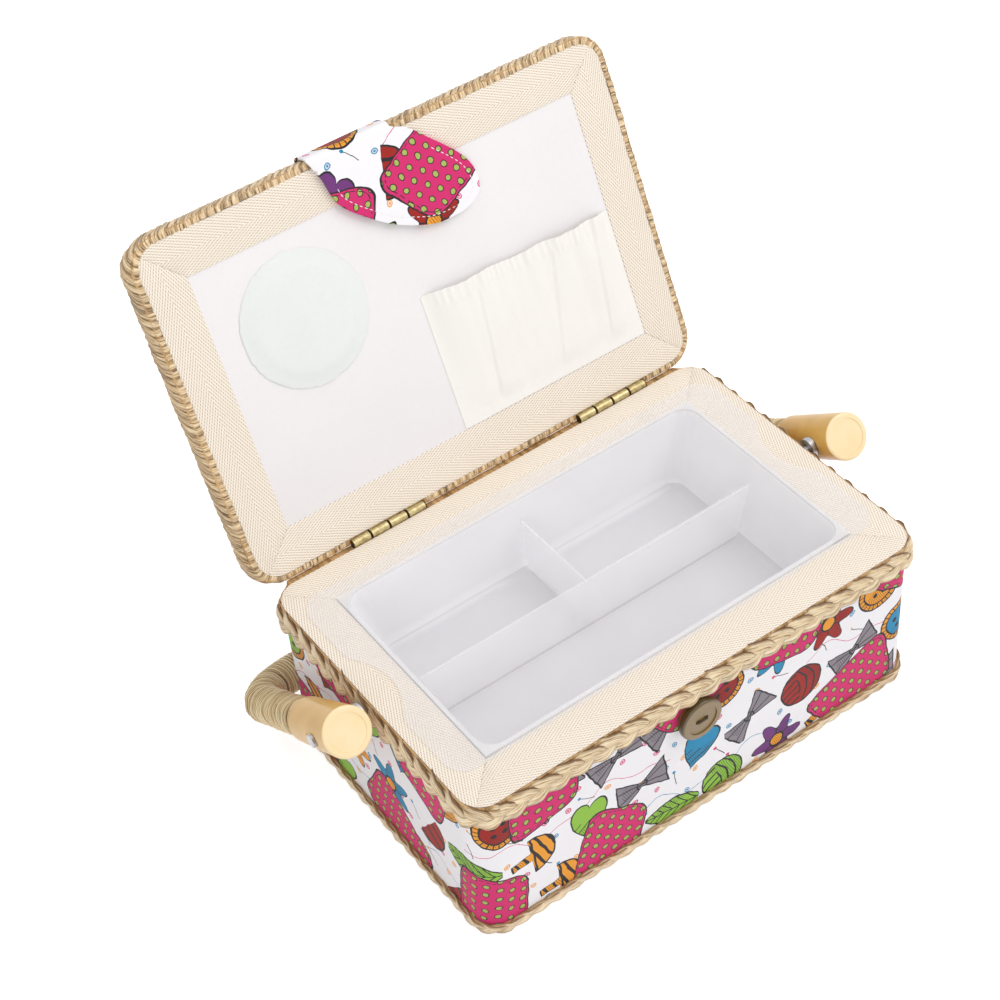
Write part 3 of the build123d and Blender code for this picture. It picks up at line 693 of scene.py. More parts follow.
# a core in darker straw colours: painted shade in the gaps between strands and wraps
shadedCoreStraw = strawMaterial("strawCoreShade", "d3ac78", "b58d58", "7d5a2e", 400.0, 30.0, output="Object")
cord = strawMaterial("paperCord", "fff0c4", "f2c47c", "3a2408", 1.4, 5.0, 1.0, sharp=3.0)
liningCloth = clothMaterial("liningCloth", "f4f0f0", "e9e5e6", 0.6 * mm)
liningInside = clothMaterial("liningInside", "f1eef0", "e4e0e4", 0.6 * mm, "Object")
pocketCloth = clothMaterial("pocketCloth", "f9f5f1", "f0ece5", 0.5 * mm, depth=0.15 * mm)
padFelt = clothMaterial("padFelt", "eff1ee", "e2e5e2", 0.7 * mm, "Object", 0.95, 0.3, 0.25 * mm)
elasticCloth = clothMaterial("elasticBand", "f4f1ea", "d9d4c8", 0.9 * mm)
whiteThread = clothMaterial("whiteThread", "fbfafa", "e4e1e1", 0.4 * mm, "Object")
darkThread = clothMaterial("darkThread", "5a4a2e", "3a2f1c", 0.4 * mm, "Object")
brass = hardMaterial("agedBrass", "e6d8a6", "8a7444", 0.36, 420.0, 0.1, 0.8)
steel = hardMaterial("dullSteel", "cfcfd2", "9b9ba1", 0.3, 200.0, 0.05, 0.95)
board = hardMaterial("greyBoard", "b9a98f", "9c8c72", 0.85, 60.0, 0.3)
sheetBase = hardMaterial("baseSheet", "f0eee9", "dedad2", 0.7, 40.0, 0.15)
slatWood = hardMaterial("limeSlat", "dcc39a", "c2a477", 0.7, 120.0, 0.2)
magnetSteel = hardMaterial("magnet", "8f8f94", "6b6b70", 0.35, 90.0, 0.05, 0.9)
fibreCore = hardMaterial("handleCore", "a98b5f", "7f6540", 0.8, 300.0, 0.3)


def paintKnuckleShade(knuckle=11 * mm, seam="3b2a14"):        # painted shade in the dark gaps between the hinges' knuckles: the brass is painted dark at each knuckle's ends
    tree = brass.node_tree
    across, y, z = partsOf(placeNode(tree))
    left, right = (sum(corner.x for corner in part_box("hinge_" + side + "_lid_leaf")) / 2
                   for side in ("left", "right"))
    local = (across - left - across.over(0.0) * (right - left)) / knuckle
    colourSocket = tree.nodes["Principled BSDF"].inputs["Base Color"]
    feed(mixed(tree, (local.fraction() - 0.5).size().over(0.44),
               colourSocket.links[0].from_socket, linear(seam)), colourSocket)


paintKnuckleShade()


def buttonMaterial():
    material, tree, shader = newMaterial("oliveShell", Roughness=0.34, Coat_Weight=0.25,
                                         Coat_Roughness=0.2)
    place = placeNode(tree)
    x, y, z = partsOf(place)
    middle = sum(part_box("front_button"), Vector((0, 0, 0))) / 2
    radius = (x - middle.x).reach(z - middle.z)
    wear = useGroup(tree, wearGroup, Place=place, Scale=240.0)
    turned = (radius * 5200 + wear["Shade"] * 5).sine() * 0.5 + 0.5
    colour = mixed(tree, turned * 0.5, linear("856b3c"), linear("6f582c"))
    # painted shade: the button's rim and side are painted dark brown past the edge of its face
    edge = ((radius - 10.6 * mm) * 900).clamped()
    coat(shader, mixed(tree, edge, colour, linear("51421f")), turned, 0.12, 0.1 * mm)
    return material


def capMaterial():
    material, tree, shader = newMaterial("capPlastic", Roughness=0.3, Specular_IOR_Level=0.35,
                                         Coat_Weight=0.05, Coat_Roughness=0.25)
    place = placeNode(tree)
    # turned to run along the bail from the pivot, because the cap's face is painted paler than its
    # side as painted light
    local = addNode(tree, "Mapping", {"Vector": place, "Rotation": (handleFall, 0, 0)})
    x, y, z = partsOf(Wire(local.outputs[0]))
    away = y + handleFrame.inverted().translation.y
    wear = useGroup(tree, wearGroup, Place=place, Scale=70.0)
    side = mixed(tree, wear["Shade"], linear("cf9e46"), linear("dfb25e"))
    # painted light: the face, lit from the front and above, is painted paler than the gold side
    face = mixed(tree, wear["Shade"], linear("f4d9a4"), linear("fae6bf"))
    front = ((away * -1 - 15.8 * mm) * 2500).clamped()
    coat(shader, mixed(tree, front, side, face), wear["Height"], 0.04, 0.1 * mm)
    return material


trayLook = {"windowX": 109.3 * mm, "windowY": 62.3 * mm, "floor": 3 * mm, "flange": 1.2 * mm}


def trayMaterial(name, clear):
    # a faint white glow (Emission) brightens the frosted plastic of the tray and the divider:
    # painted light
    material, tree, shader = newMaterial(name, Roughness=0.22, IOR=1.45, Coat_Weight=0.3,
                                         Coat_Roughness=0.12, Emission_Color=(0.92, 0.91, 0.92),
                                         Emission_Strength=0.12)
    place = placeNode(tree)
    wear = useGroup(tree, wearGroup, Place=place, Scale=30.0)
    colour = mixed(tree, wear["Shade"], linear("e9e8ea"), linear("f1f0f2"))
    x, y, z = partsOf(place)
    low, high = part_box("tray")
    # painted shade: the tray's floor is painted darker than its walls
    floorShade = z.under(low.z + trayLook["floor"])
    colour = mixed(tree, floorShade, colour, linear("e9e8e9"), "MULTIPLY")
    flange = ((z - (high.z - trayLook["flange"])) * 3000).clamped()
    facing = wiresOf(addNode(tree, "LayerWeight", {"Blend": 0.35}))["Facing"]
    solid = facing * (1 - clear) * 0.9 + clear
    # the flange is thin over the tape and thick where it turns down into the walls
    window = x.size().under(trayLook["windowX"]) * y.size().under(trayLook["windowY"])
    thin = facing * 0.3 + 0.17 + window * 0.3
    feed((solid + (thin - solid) * flange).both(1.0), shader.inputs["Alpha"])
    coat(shader, colour, wear["Height"], 0.05, 0.1 * mm)
    return material


shell = buttonMaterial()
caps = capMaterial()
trayPlastic = trayMaterial("frostedPlastic", 0.72)
dividerPlastic = trayMaterial("frostedDivider", 0.14)
print("materials built")

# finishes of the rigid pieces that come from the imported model, by the start of their names
nodeFinishes = {
    "base_cover": sheetBase, "floor_board": board, "wall_": board, "rail_": slatWood,
    "hinge_": brass, "front_button": shell, "button_thread": darkThread, "clasp_ring": steel,
    "pivot_": steel, "lid_board": board, "tab_magnet": magnetSteel, "handle_core": fibreCore,
    "handle_cap": caps, "tray": trayPlastic, "tray_divider": dividerPlastic,
}
for start, finish in nodeFinishes.items():      # the divider's own finish comes after the tray's
    for nodeName, node in frame["nodes"].items():
        if nodeName.startswith(start):
            node.data.materials.clear()
            node.data.materials.append(finish)


# rounded walls: the printed cover and the lining inside

def roundDistance(x, y, halfX, halfY, radius):  # along the outline from the middle of its front
    straightX = halfX - radius
    straightY = halfY - radius
    arc = math.pi / 2 * radius
    if y < -straightY:
        if x <= straightX:
            return x
        return straightX + radius * math.atan2(x - straightX, -straightY - y)
    if y <= straightY:
        return straightX + arc + y + straightY
    if x <= straightX:
        return straightX + 2 * arc + 2 * straightY + straightX - x
    return straightX + arc + 2 * straightY + radius * math.atan2(y - straightY, x - straightX)


def roundedWall(name, halfX, halfY, radius, low, high, middleY=0.0, rows=6):
    wall = roundedOutline(name, halfX, halfY, radius, middleY, low)
    emptyOutline(wall)
    editAll(wall)
    for row in range(rows):
        extrudeUp((high - low) / rows)
    cutAlong((0, 0, 0), (1, 0, 0))  # a seam line for the print at the front and the back
    editDone()

    def unrolled(co, face):
        side = 1 if face.center.x > 0 else -1
        distance = roundDistance(abs(co.x), co.y - middleY, halfX, halfY, radius)
        return side * distance, co.z

    mapCloth(wall, unrolled)
    turnOutward(wall)
    return wall


coverLook = {"thickness": 0.8 * mm, "radius": 13 * mm}
liningLook = {"thickness": 0.6 * mm, "radius": 9.2 * mm, "floorEdge": 0.3 * mm}
for name, node, look, slotName, cloth in (
        ("printedCover", "outer_cover", coverLook, "cover_print", printOnBox),
        ("innerLining", "inner_lining", liningLook, "plain_lining", liningCloth)):
    low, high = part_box(node)
    sheet = roundedWall(name, high.x, high.y, look["radius"], low.z, high.z)
    thicken(sheet, look["thickness"])
    finishPiece(sheet, "box", cloth, [node])

low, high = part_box("floor_lining")
floorLining = roundedOutline("floorLining", high.x, high.y, liningLook["radius"], 0, low.z)
makeSlab(floorLining, high.z - low.z)
roundEdges(floorLining, liningLook["floorEdge"])
finishPiece(floorLining, "box", liningInside, ["floor_lining"])
print("covers and linings done")

# cream tape: four mitred strips round the box's rim and four round the lid
tapeLook = {"box": 22.8 * mm, "lid": 21.5 * mm, "thickness": 0.6 * mm, "fold": 10.0 * mm,
            "mitreGap": 0.08 * mm, "radius": 13 * mm, "droop": 0.25 * mm, "edge": 2.2 * mm,
            "ripple": 0.12 * mm}


def tapeStrip(name, along, across, width, top, fold):   # strip at the front, turned later
    strip = roundedOutline(name, along, across, tapeLook["radius"], 0, top)
    edge = across - width
    inner = along - width - tapeLook["mitreGap"]
    editAll(strip)
    cutAlong((0, -edge, 0), (0, 1, 0), clearOuter=True)
    cutAlong((inner, -edge, 0), (1, 1, 0), clearOuter=True)
    cutAlong((-inner, -edge, 0), (-1, 1, 0), clearOuter=True)
    for part in range(1, 24):
        cutAlong(((part / 12 - 1) * along, 0, 0), (1, 0, 0))
    for part in (0.03, 0.12, 0.5, 0.88, 0.97):
        cutAlong((0, -edge - width * part, 0), (0, 1, 0))
    editDone()
    if fold:                        # the inner edge turns down over the slats
        editPicked(strip, lambda co: abs(co.y + edge) < 0.01 * mm)
        bpy.ops.mesh.select_mode(type="EDGE")
        extrudeUp(-fold)
        bpy.ops.mesh.select_mode(type="VERT")
        editDone()
    mapCloth(strip, lambda co, face: (co.x, -edge - co.y - (top - co.z)))

    def soften(co):                 # the strip sinks a little at its edges and mitres
        near = min(-edge - co.y, width + edge + co.y) if co.z > top - 0.01 * mm else 1.0
        mitre = (inner - co.y - edge - abs(co.x)) / math.sqrt(2)
        sink = 1 - smoothStep(0, tapeLook["edge"], min(near, mitre))
        ripple = noise.noise(Vector((co.x * 45, co.y * 45, across * 9))) * tapeLook["ripple"]
        return Vector((co.x, co.y, co.z - sink * tapeLook["droop"] + ripple))

    movePoints(strip, soften)
    turnOutward(strip)
    faceUp(strip)
    thicken(strip, tapeLook["thickness"])
    roundEdges(strip, 0.16 * mm, 2, 60)
    return strip


def tapeRing(name, body, nodeStart, ends, halfX, halfY, width, top, fold=0, place=Matrix()):
    for turn, (side, nodeEnd) in enumerate(zip(("front", "right", "back", "left"), ends)):
        along, across = (halfY, halfX) if turn % 2 else (halfX, halfY)
        strip = tapeStrip(name + side, along, across, width, top, fold)
        applyPlace(strip, place @ Matrix.Rotation(turn * math.pi / 2, 4, "Z"))
        finishPiece(strip, body, twill, [nodeStart + nodeEnd])


boxHalfX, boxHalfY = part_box("outer_cover")[1].xy
tapeRing("rimTape.", "box", "rim_tape_", ("front", "right", "back", "left"), boxHalfX, boxHalfY,
         tapeLook["box"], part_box("rim_tape_front")[1].z, tapeLook["fold"])

lidLook = {"start": 2.6 * mm, "end": 179.6 * mm, "halfX": 132.75 * mm, "face": -0.8 * mm,
           "liningTop": -1.4 * mm, "boardTop": -2.6 * mm, "radius": 13 * mm}
lidMiddle = (lidLook["start"] + lidLook["end"]) / 2
lidHalfY = (lidLook["end"] - lidLook["start"]) / 2
# the lid's tapes are named as they lie on the shut lid
tapeRing("lidTape.", "lid", "lid_tape_", ("back", "right", "front", "left"), lidLook["halfX"],
         lidHalfY, tapeLook["lid"], lidLook["face"],
         place=lidFrame @ Matrix.Translation((0, lidMiddle, 0)))
print("tapes done")

# plaited straw round the rim and the foot, each over a core that fills the gaps; the core's darker
# straw colour is painted shade in the gaps between the strands
braidLook = {
    "top": {"repeats": 23, "swing": 2.7 * mm, "depth": 0.8 * mm, "halfWidth": 3.5 * mm,
            "halfThickness": 1.0 * mm, "out": 4.5 * mm, "fibres": 11, "below": 6.2 * mm,
            "lean": 1.8 * mm, "drop": 1.2 * mm},
    "foot": {"repeats": 28, "swing": 0.5 * mm, "depth": 0.45 * mm, "halfWidth": 2.3 * mm,
             "halfThickness": 0.75 * mm, "out": 2.9 * mm, "fibres": 7},
    "topCore": {"out": 0.8 * mm, "above": 1.2 * mm, "below": 0.2 * mm, "behind": 3.4 * mm,
                "drop": 0.9 * mm},
    "footCore": {"out": 0.7 * mm, "above": 0.8 * mm, "below": 0.8 * mm, "behind": 0, "drop": 0},
}


def plait(name, look, height, steps, around):
    out = look["out"] / 2
    path = loopPath(name + "Path", boxHalfX + out, boxHalfY + out, coverLook["radius"] + out,
                    0, height)
    pitch = pitchOn(path, look["repeats"])

    def strandPlace(u, v, strand):
        turn = fullTurn * (u + strand / 3)
        angle = fullTurn * v
        wave = (math.sin(turn) + math.sin(3 * turn) / 7) / 0.87
        ribs = 1 + 0.13 * math.cos(look["fibres"] * angle + strand)
        flat = math.copysign(abs(math.cos(angle)) ** 0.6, math.cos(angle))
        lean = 0.8 * math.cos(turn) * math.sin(angle)
        return (u * pitch,
                look["depth"] * math.sin(2 * turn) + look["halfThickness"] * (flat * ribs + lean),
                look["swing"] * wave + look["halfWidth"] * math.sin(angle))

    strands = []
    for strand in range(3):
        made = formedGrid(name + "Strand", steps, around, lambda u, v: strandPlace(u, v, strand))
        for corner in made.data.uv_layers.active.data:
            corner.uv.x += strand / 3
        strands.append(made)
    braid = join(name, strands)
    repeatAlong(braid, path, look["repeats"])
    weld(braid)
    return braid


topLow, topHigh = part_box("top_braid")
topMiddle = topHigh.z - braidLook["top"]["below"]


def settleTop(co):                  # lower along the hinges, and its upper edge leans on the tape
    look = braidLook["top"]
    back = smoothStep(boxHalfY - 2 * mm, boxHalfY + 1 * mm, co.y)
    lean = look["lean"] * smoothStep(0, 6 * mm, co.z - topMiddle)
    onEnd = abs(co.x) > 0.9 * (boxHalfX + 2 * mm)
    onFront = abs(co.y) > 0.9 * (boxHalfY + 2 * mm)
    inward = Vector((math.copysign(lean * onEnd, co.x), math.copysign(lean * onFront, co.y),
                     look["drop"] * back))
    return co + handWobble(co, (60, 0.5 * mm), (420, 0.3 * mm)) - inward


topBraid = plait("topBraid", braidLook["top"], topMiddle, 30, 30)
movePoints(topBraid, settleTop)
finishPiece(topBraid, "box", braidStraw, ["top_braid"], 60)

footLow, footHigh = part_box("foot_braid")
footBraid = plait("footBraid", braidLook["foot"], (footLow.z + footHigh.z) / 2, 20, 18)
movePoints(footBraid, lambda co: co + handWobble(co, (80, 0.3 * mm), (500, 0.2 * mm)))
finishPiece(footBraid, "box", footStraw, ["foot_braid"], 60)

for part, low, high in (("top", topLow, topHigh), ("foot", footLow, footHigh)):
    look = braidLook[part + "Core"]
    out = look["out"]
    core = roundedWall(part + "BraidCore", boxHalfX + out, boxHalfY + out,
                       coverLook["radius"] + out, low.z + look["above"], high.z - look["below"])
    thicken(core, out - 0.1 * mm)
    # behind the lid it fills the gap to the hinges
    movePoints(core, lambda co: co + Vector((0, look["behind"], -look["drop"])) * smoothStep(
        boxHalfY + 0.2 * mm, boxHalfY + 0.6 * mm, co.y))
    finishPiece(core, "box", shadedCoreStraw)
print("braids done")

# the lid's edge is bound with slanted wraps of straw over a core, whose darker straw colour is
# painted shade between the wraps
ropeLook = {"out": 4.0 * mm, "top": -0.8 * mm, "bottom": -12.6 * mm, "count": 200,
            "halfThickness": 1.0 * mm, "slant": 4.2 * mm, "notchTop": -2.75 * mm,
            "bulge": 1.8 * mm, "coreOut": 3.2 * mm, "coreThickness": 3.0 * mm}
hingeSpans = [[corner.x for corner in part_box("hinge_" + side + "_lid_leaf")]
              for side in ("left", "right")]


def fuller(co):                     # the binding bulges at the lid's short sides
    share = smoothStep(126 * mm, 134 * mm, abs(co.x)) * smoothStep(-1 * mm, -6 * mm, co.z)
    return co + Vector((math.copysign(ropeLook["bulge"], co.x) * share, 0, 0))


def clearHinges(co):                # wraps are pressed down where the knuckles are
    beside = max(smoothStep(first - 2.2 * mm, first - 0.5 * mm, co.x)
                 * smoothStep(last + 2.2 * mm, last + 0.5 * mm, co.x) for first, last in hingeSpans)
    bottom = ropeLook["bottom"]
    room = (ropeLook["notchTop"] - bottom) / (ropeLook["top"] - bottom)
    if co.y < lidLook["start"] + 1 * mm:
        co.z += (co.z - bottom) * (room - 1) * beside
    return co


def bindEdge(co):
    bound = clearHinges(fuller(co) + handWobble(co, (110, 0.6 * mm), (500, 0.25 * mm)))
    bound.z = max(bound.z, ropeLook["bottom"])
    return bound


ropePath = loopPath("ropePath", lidLook["halfX"], lidHalfY, lidLook["radius"], lidMiddle,
                    (ropeLook["top"] + ropeLook["bottom"]) / 2)
ropePitch = pitchOn(ropePath, ropeLook["count"])
ropeRise = (ropeLook["top"] - ropeLook["bottom"]) / 2 - ropeLook["halfThickness"]
ropeDepth = ropeLook["out"] - ropeLook["halfThickness"]


def wrapPlace(u, v):                # from the lining side, out over the edge, to the outside
    angle = (u - 0.5) * math.pi
    around = fullTurn * v
    lift = math.copysign(abs(math.sin(angle)) ** 0.5, angle)
    out = abs(math.cos(angle)) ** 0.35
    plump = ropeLook["halfThickness"] * math.cos(around) * (1 + 0.12 * math.cos(9 * around))
    return (lift * ropeLook["slant"] + ropePitch / 2 + ropePitch * 0.53 * math.sin(around),
            -ropeDepth * out - plump * math.cos(angle), lift * ropeRise + plump * math.sin(angle))


wraps = formedGrid("lidRope", 16, 18, wrapPlace)
weld(wraps)
repeatAlong(wraps, ropePath, ropeLook["count"])
movePoints(wraps, bindEdge)
applyPlace(wraps, lidFrame)
finishPiece(wraps, "lid", ropeStraw, ["lid_rope"], 60)

out = ropeLook["coreOut"]
core = roundedWall("lidRopeCore", lidLook["halfX"] + out, lidHalfY + out, lidLook["radius"] + out,
                   ropeLook["bottom"] + 0.9 * mm, ropeLook["top"] - 0.7 * mm, lidMiddle)
thicken(core, ropeLook["coreThickness"])
movePoints(core, clearHinges)
applyPlace(core, lidFrame)
finishPiece(core, "lid", shadedCoreStraw)
print("lid rope done")

# handle: paper cord wound round the bail
handleLook = {"inset": 10 * mm, "reach": 123 * mm, "start": 25.3 * mm, "bend": 32 * mm,
              "turns": 216, "radius": 8.75 * mm, "cord": 0.95 * mm}
bailHalfY = (handleLook["reach"] - handleLook["start"]) / 2
bailMiddle = handleLook["start"] + bailHalfY
bail = flatPlane("bailPath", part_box("handle_wrap")[1].x - handleLook["inset"], bailHalfY,
                 bailMiddle)
editPicked(bail, lambda co: co.y > bailMiddle)
roundCorners(handleLook["bend"], 20)
emptyOutline(bail)
editPicked(bail, lambda co: co.y < handleLook["start"] + 0.01 * mm)
bpy.ops.mesh.select_mode(type="EDGE")
bpy.ops.mesh.delete(type="EDGE")    # the bail is open between the pivots
bpy.ops.mesh.select_mode(type="VERT")
bailPath = pathAlong(bail, 2)
turnPitch = pitchOn(bailPath, handleLook["turns"])


def turnPlace(u, v):
    angle = fullTurn * u
    around = fullTurn * v
    reach = handleLook["radius"] + handleLook["cord"] * math.cos(around)
    return (turnPitch * u + turnPitch * 0.53 * math.sin(around),
            reach * math.cos(angle), reach * math.sin(angle))


winding = formedGrid("handleWrap", 24, 8, turnPlace)
weld(winding)
repeatAlong(winding, bailPath, handleLook["turns"])
movePoints(winding, lambda co: co + handWobble(co, (150, 0.6 * mm), (600, 0.2 * mm)))
weld(winding)
applyPlace(winding, handleFrame)
finishPiece(winding, "handle", cord, ["handle_wrap"], 60)
print("handle done")


# padded pieces: a closed form is remeshed, blown up a little as cloth, and held back by a limit
def puff(piece, look, pinned, frames=20):
    applyModifier(piece, "REMESH", mode="VOXEL", voxel_size=look["voxel"])
    start = [vertex.co.copy() for vertex in piece.data.vertices]
    pins = piece.vertex_groups.new(name="pins")
    pins.add([vertex.index for vertex in piece.data.vertices if pinned(vertex.co)], 1.0, "REPLACE")
    selectOnly(piece)
    modifier = piece.modifiers.new("Cloth", "CLOTH")
    cloth = modifier.settings
    cloth.use_pressure = True
    cloth.uniform_pressure_force = look["pressure"]
    cloth.effector_weights.gravity = 0
    cloth.vertex_group_mass = "pins"
    cloth.quality = 5
    modifier.point_cache.frame_start = 1
    modifier.point_cache.frame_end = frames
    for step in range(frames):
        bpy.context.scene.frame_set(step + 1)
    bpy.ops.object.modifier_apply(modifier=modifier.name)
    bpy.context.scene.frame_set(1)
    for vertex, old in zip(piece.data.vertices, start):
        shift = vertex.co - old
        if shift.length > look["limit"]:
            vertex.co = old + shift.normalized() * look["limit"]
    piece.vertex_groups.clear()
    subdivide(piece, 1)


padLook = {"voxel": 3.6 * mm, "pressure": 3.0, "limit": 2.3 * mm, "start": -10.2 * mm,
           "pinned": -4.5 * mm, "underStrap": -10.95 * mm, "inset": 0.4 * mm, "edge": 1.4 * mm}
pad = roundedOutline("lidPad", lidLook["halfX"] - padLook["inset"], lidHalfY - padLook["inset"],
                     lidLook["radius"], lidMiddle, lidLook["boardTop"] - 0.1 * mm)
makeSlab(pad, padLook["start"] - lidLook["boardTop"])
roundEdges(pad, padLook["edge"], 3)
puff(pad, padLook, lambda co: co.z > padLook["pinned"])


def underStrap(co):                 # the tab's strap holds the pad down
    share = (smoothStep(-41 * mm, -38 * mm, co.x) * smoothStep(13.5 * mm, 10.5 * mm, co.x)
             * smoothStep(150 * mm, 157 * mm, co.y))
    return Vector((co.x, co.y, co.z + (max(co.z, padLook["underStrap"]) - co.z) * share))


movePoints(pad, underStrap)
applyPlace(pad, lidFrame)
finishPiece(pad, "lid", printOnLid, ["lid_cover", "lid_foam"], 60)
print("lid pad done")

# lining pasted inside the lid, with its edge under the tape
lidLiningLook = {"underTape": 4 * mm, "radius": 2 * mm, "gap": 0.02 * mm, "edge": 0.4 * mm}
liningReach = lidLiningLook["underTape"] - tapeLook["lid"]
lidLining = roundedOutline("lidLining", lidLook["halfX"] + liningReach, lidHalfY + liningReach,
                           lidLiningLook["radius"], lidMiddle,
                           lidLook["boardTop"] + lidLiningLook["gap"])
makeSlab(lidLining, lidLook["liningTop"] - lidLook["boardTop"] - 2 * lidLiningLook["gap"])
roundEdges(lidLining, lidLiningLook["edge"])
mapCloth(lidLining, layFlat)
applyPlace(lidLining, lidFrame)
finishPiece(lidLining, "lid", liningCloth, ["lid_lining"])

# pincushion
cushionLook = {"x": -64.2 * mm, "away": 115 * mm, "radius": 34.6 * mm, "thickness": 2.4 * mm,
               "voxel": 1.8 * mm, "pressure": 5.0, "limit": 1.6 * mm, "pinned": 0.9 * mm,
               "edge": 0.95 * mm, "edgeWidth": 5 * mm, "crown": 1.6 * mm, "dimple": 0.2 * mm}
deselectAll()
bpy.ops.mesh.primitive_cylinder_add(
    vertices=64, radius=cushionLook["radius"], depth=cushionLook["thickness"],
    location=(cushionLook["x"], cushionLook["away"],
              lidLook["liningTop"] + cushionLook["thickness"] / 2 + 0.15 * mm))
cushion = named("pincushionPad")
applyPlace(cushion)
roundEdges(cushion, 1.0 * mm, 3)
puff(cushion, cushionLook, lambda co: co.z < lidLook["liningTop"] + cushionLook["pinned"])


def crown(co):                      # the rim is thin, so the shut lid clears the tray's flange
    look = cushionLook
    inward = look["radius"] - math.hypot(co.x - look["x"], co.y - look["away"])
    base = lidLook["liningTop"] + 0.03 * mm
    rise = smoothStep(0, 1, inward / look["edgeWidth"] * 0.5)
    thick = look["thickness"] + look["crown"] * clamp(inward / look["radius"])
    top = look["edge"] + (thick - look["edge"]) * rise
    share = clamp((co.z - base) / (look["thickness"] + look["limit"]))
    dimple = noise.noise(co * 55) * look["dimple"] * share * rise
    return Vector((co.x, co.y, base + share * top * 1.15 + dimple))


movePoints(cushion, crown)
applyPlace(cushion, lidFrame)
finishPiece(cushion, "lid", padFelt, ["pincushion"], 60)
print("pincushion done")

# gathered pocket, sewn at its sides and foot, with elastic in the mouth
pocketLook = {"left": -4 * mm, "right": 110.6 * mm, "foot": 24.7 * mm, "mouthLeft": 98 * mm,
              "mouthRight": 95 * mm, "bulge": 4.6 * mm, "thickness": 0.5 * mm,
              "flatWidth": 140 * mm, "flatLength": 76 * mm, "gathered": 1.22, "elastic": 0.6 * mm,
              # a pleat's X and distance from the hinges at its foot and at its top, in mm
              "pleats": (((21, 27), (26, 84)), ((60, 27), (71, 86)), ((92, 30), (97, 80)))}


def pocketPlace(u, v, sink=0.0):
    look = pocketLook
    x = look["left"] + (look["right"] - look["left"]) * u
    mouth = look["mouthLeft"] + (look["mouthRight"] - look["mouthLeft"]) * u
    mouth += 0.5 * mm * math.sin(u * 23)
    away = look["foot"] + (mouth - look["foot"]) * v
    edge = min(u, 1 - u)
    free = smoothStep(0.0, 0.11, edge)
    # the pocket stands out most at its mouth
    lift = look["bulge"] * free * smoothStep(0.02, 1.0, v) * (0.85 + 0.15 * math.sin(u * 9 + 1))
    lift += 0.9 * mm * free * smoothStep(0.04, 0.2, v) * (1 - v)
    # soft folds, then gathers under the elastic and at the foot
    folds = math.sin(u * 41 + 2.2 * math.sin(v * 2.2 + u * 5)) * 0.45 * mm
    folds += math.sin(u * 77 + 1.3 + 2 * v) * 0.2 * mm
    lift += folds * free * (0.25 + 0.75 * v)
    gather = smoothStep(0.86, 0.92, v) * free
    lift += gather * (0.32 * mm * math.sin(u * 190 + 3 * math.sin(u * 17)) + 0.25 * mm)
    foot = smoothStep(0.12, 0.0, v) * smoothStep(0.0, 0.02, edge)
    lift += foot * 0.16 * mm * math.sin(u * 120)
    for (footX, footY), (topX, topY) in look["pleats"]:
        past = x / mm - footX - (topX - footX) * (away / mm - footY) / (topY - footY)
        if past > -1.2:
            lift += (1.1 * mm * smoothStep(-1.2, 0.4, past) * smoothStep(15, 1, past)
                     * smoothStep(0.03, 0.2, v) * free)
    lift = max(lift, 0.12 * mm * free)
    return x, away, lidLook["liningTop"] + look["thickness"] + lift - sink


def elasticPlace(u, v):             # a band inside the mouth
    return pocketPlace(0.1 + 0.8 * u, 0.905 + 0.085 * v, 0.65 * mm)


pocket = formedGrid("gatheredPocket", 200, 60, pocketPlace)
mapCloth(pocket, lambda co, face: (co.x * pocketLook["gathered"], co.y))
elastic = formedGrid("pocketElastic", 120, 3, elasticPlace)
mapCloth(elastic, layFlat)
for piece, thickness, slotName, cloth, node in (
        (pocket, pocketLook["thickness"], "pocket_cloth", pocketCloth, "pocket"),
        (elastic, pocketLook["elastic"], "elastic", elasticCloth, "pocket_elastic")):
    thicken(piece, thickness)
    applyPlace(piece, lidFrame)
    finishPiece(piece, "lid", cloth, [node], 60)
print("pocket done")

# magnet tab: a padded flap with a round end, and a strap from the lid's outside over its edge
flapLook = {
    "height": 0.8 * mm, "crown": 0.35 * mm, "thickness": 2.2 * mm, "ripple": 0.14 * mm,
    # distance from the hinges, and the left and right edge there, in mm
    "rows": ((178.6, -34.6, 19.0), (175, -33.0, 22.0), (172, -31.8, 25.0), (167, -31.0, 30.0),
             (160, -29.8, 37.2), (153, -24.2, 43.0), (146, -15.8, 45.8), (139, -7.2, 46.2),
             (134, 3.0, 44.2), (130.6, 11.5, 39.0), (128.8, 18.5, 32.0)),
}
strapLook = {
    "left": -37.0 * mm, "right": 9.5 * mm, "spreadLeft": 2.2 * mm, "spreadRight": 10.2 * mm,
    "thickness": 1.2 * mm,
    # distance from the hinges and height along the strap, from its sewn end to the flap, in mm
    "run": ((158, -11.6), (164, -11.6), (171, -11.75), (177, -12.0), (181.2, -12.9),
            (183.9, -12.2), (184.9, -9.6), (184.95, -6), (184.95, -3.6), (184.95, -1.6),
            (184.7, -0.4), (183.9, 0.5), (182.4, 0.85), (180.2, 0.9), (177.6, 0.9)),
}
rows = flapLook["rows"]


def flapPlace(u, v):
    away, left, right = rows[round(v * (len(rows) - 1))]
    crownUp = flapLook["crown"] * math.sin(math.pi * u) * math.sin(math.pi * v)
    return (left + (right - left) * u) * mm, away * mm, flapLook["height"] + crownUp


flap = formedGrid("tabFlap", 6, len(rows) - 1, flapPlace)
subdivide(flap, 3)
mapCloth(flap, layFlat)
faceUp(flap)
thicken(flap, flapLook["thickness"], 0.0)
roundEdges(flap, 0.6 * mm, 3, 50)
movePoints(flap, lambda co: co + Vector((0, 0, noise.noise(co * 120) * flapLook["ripple"])))

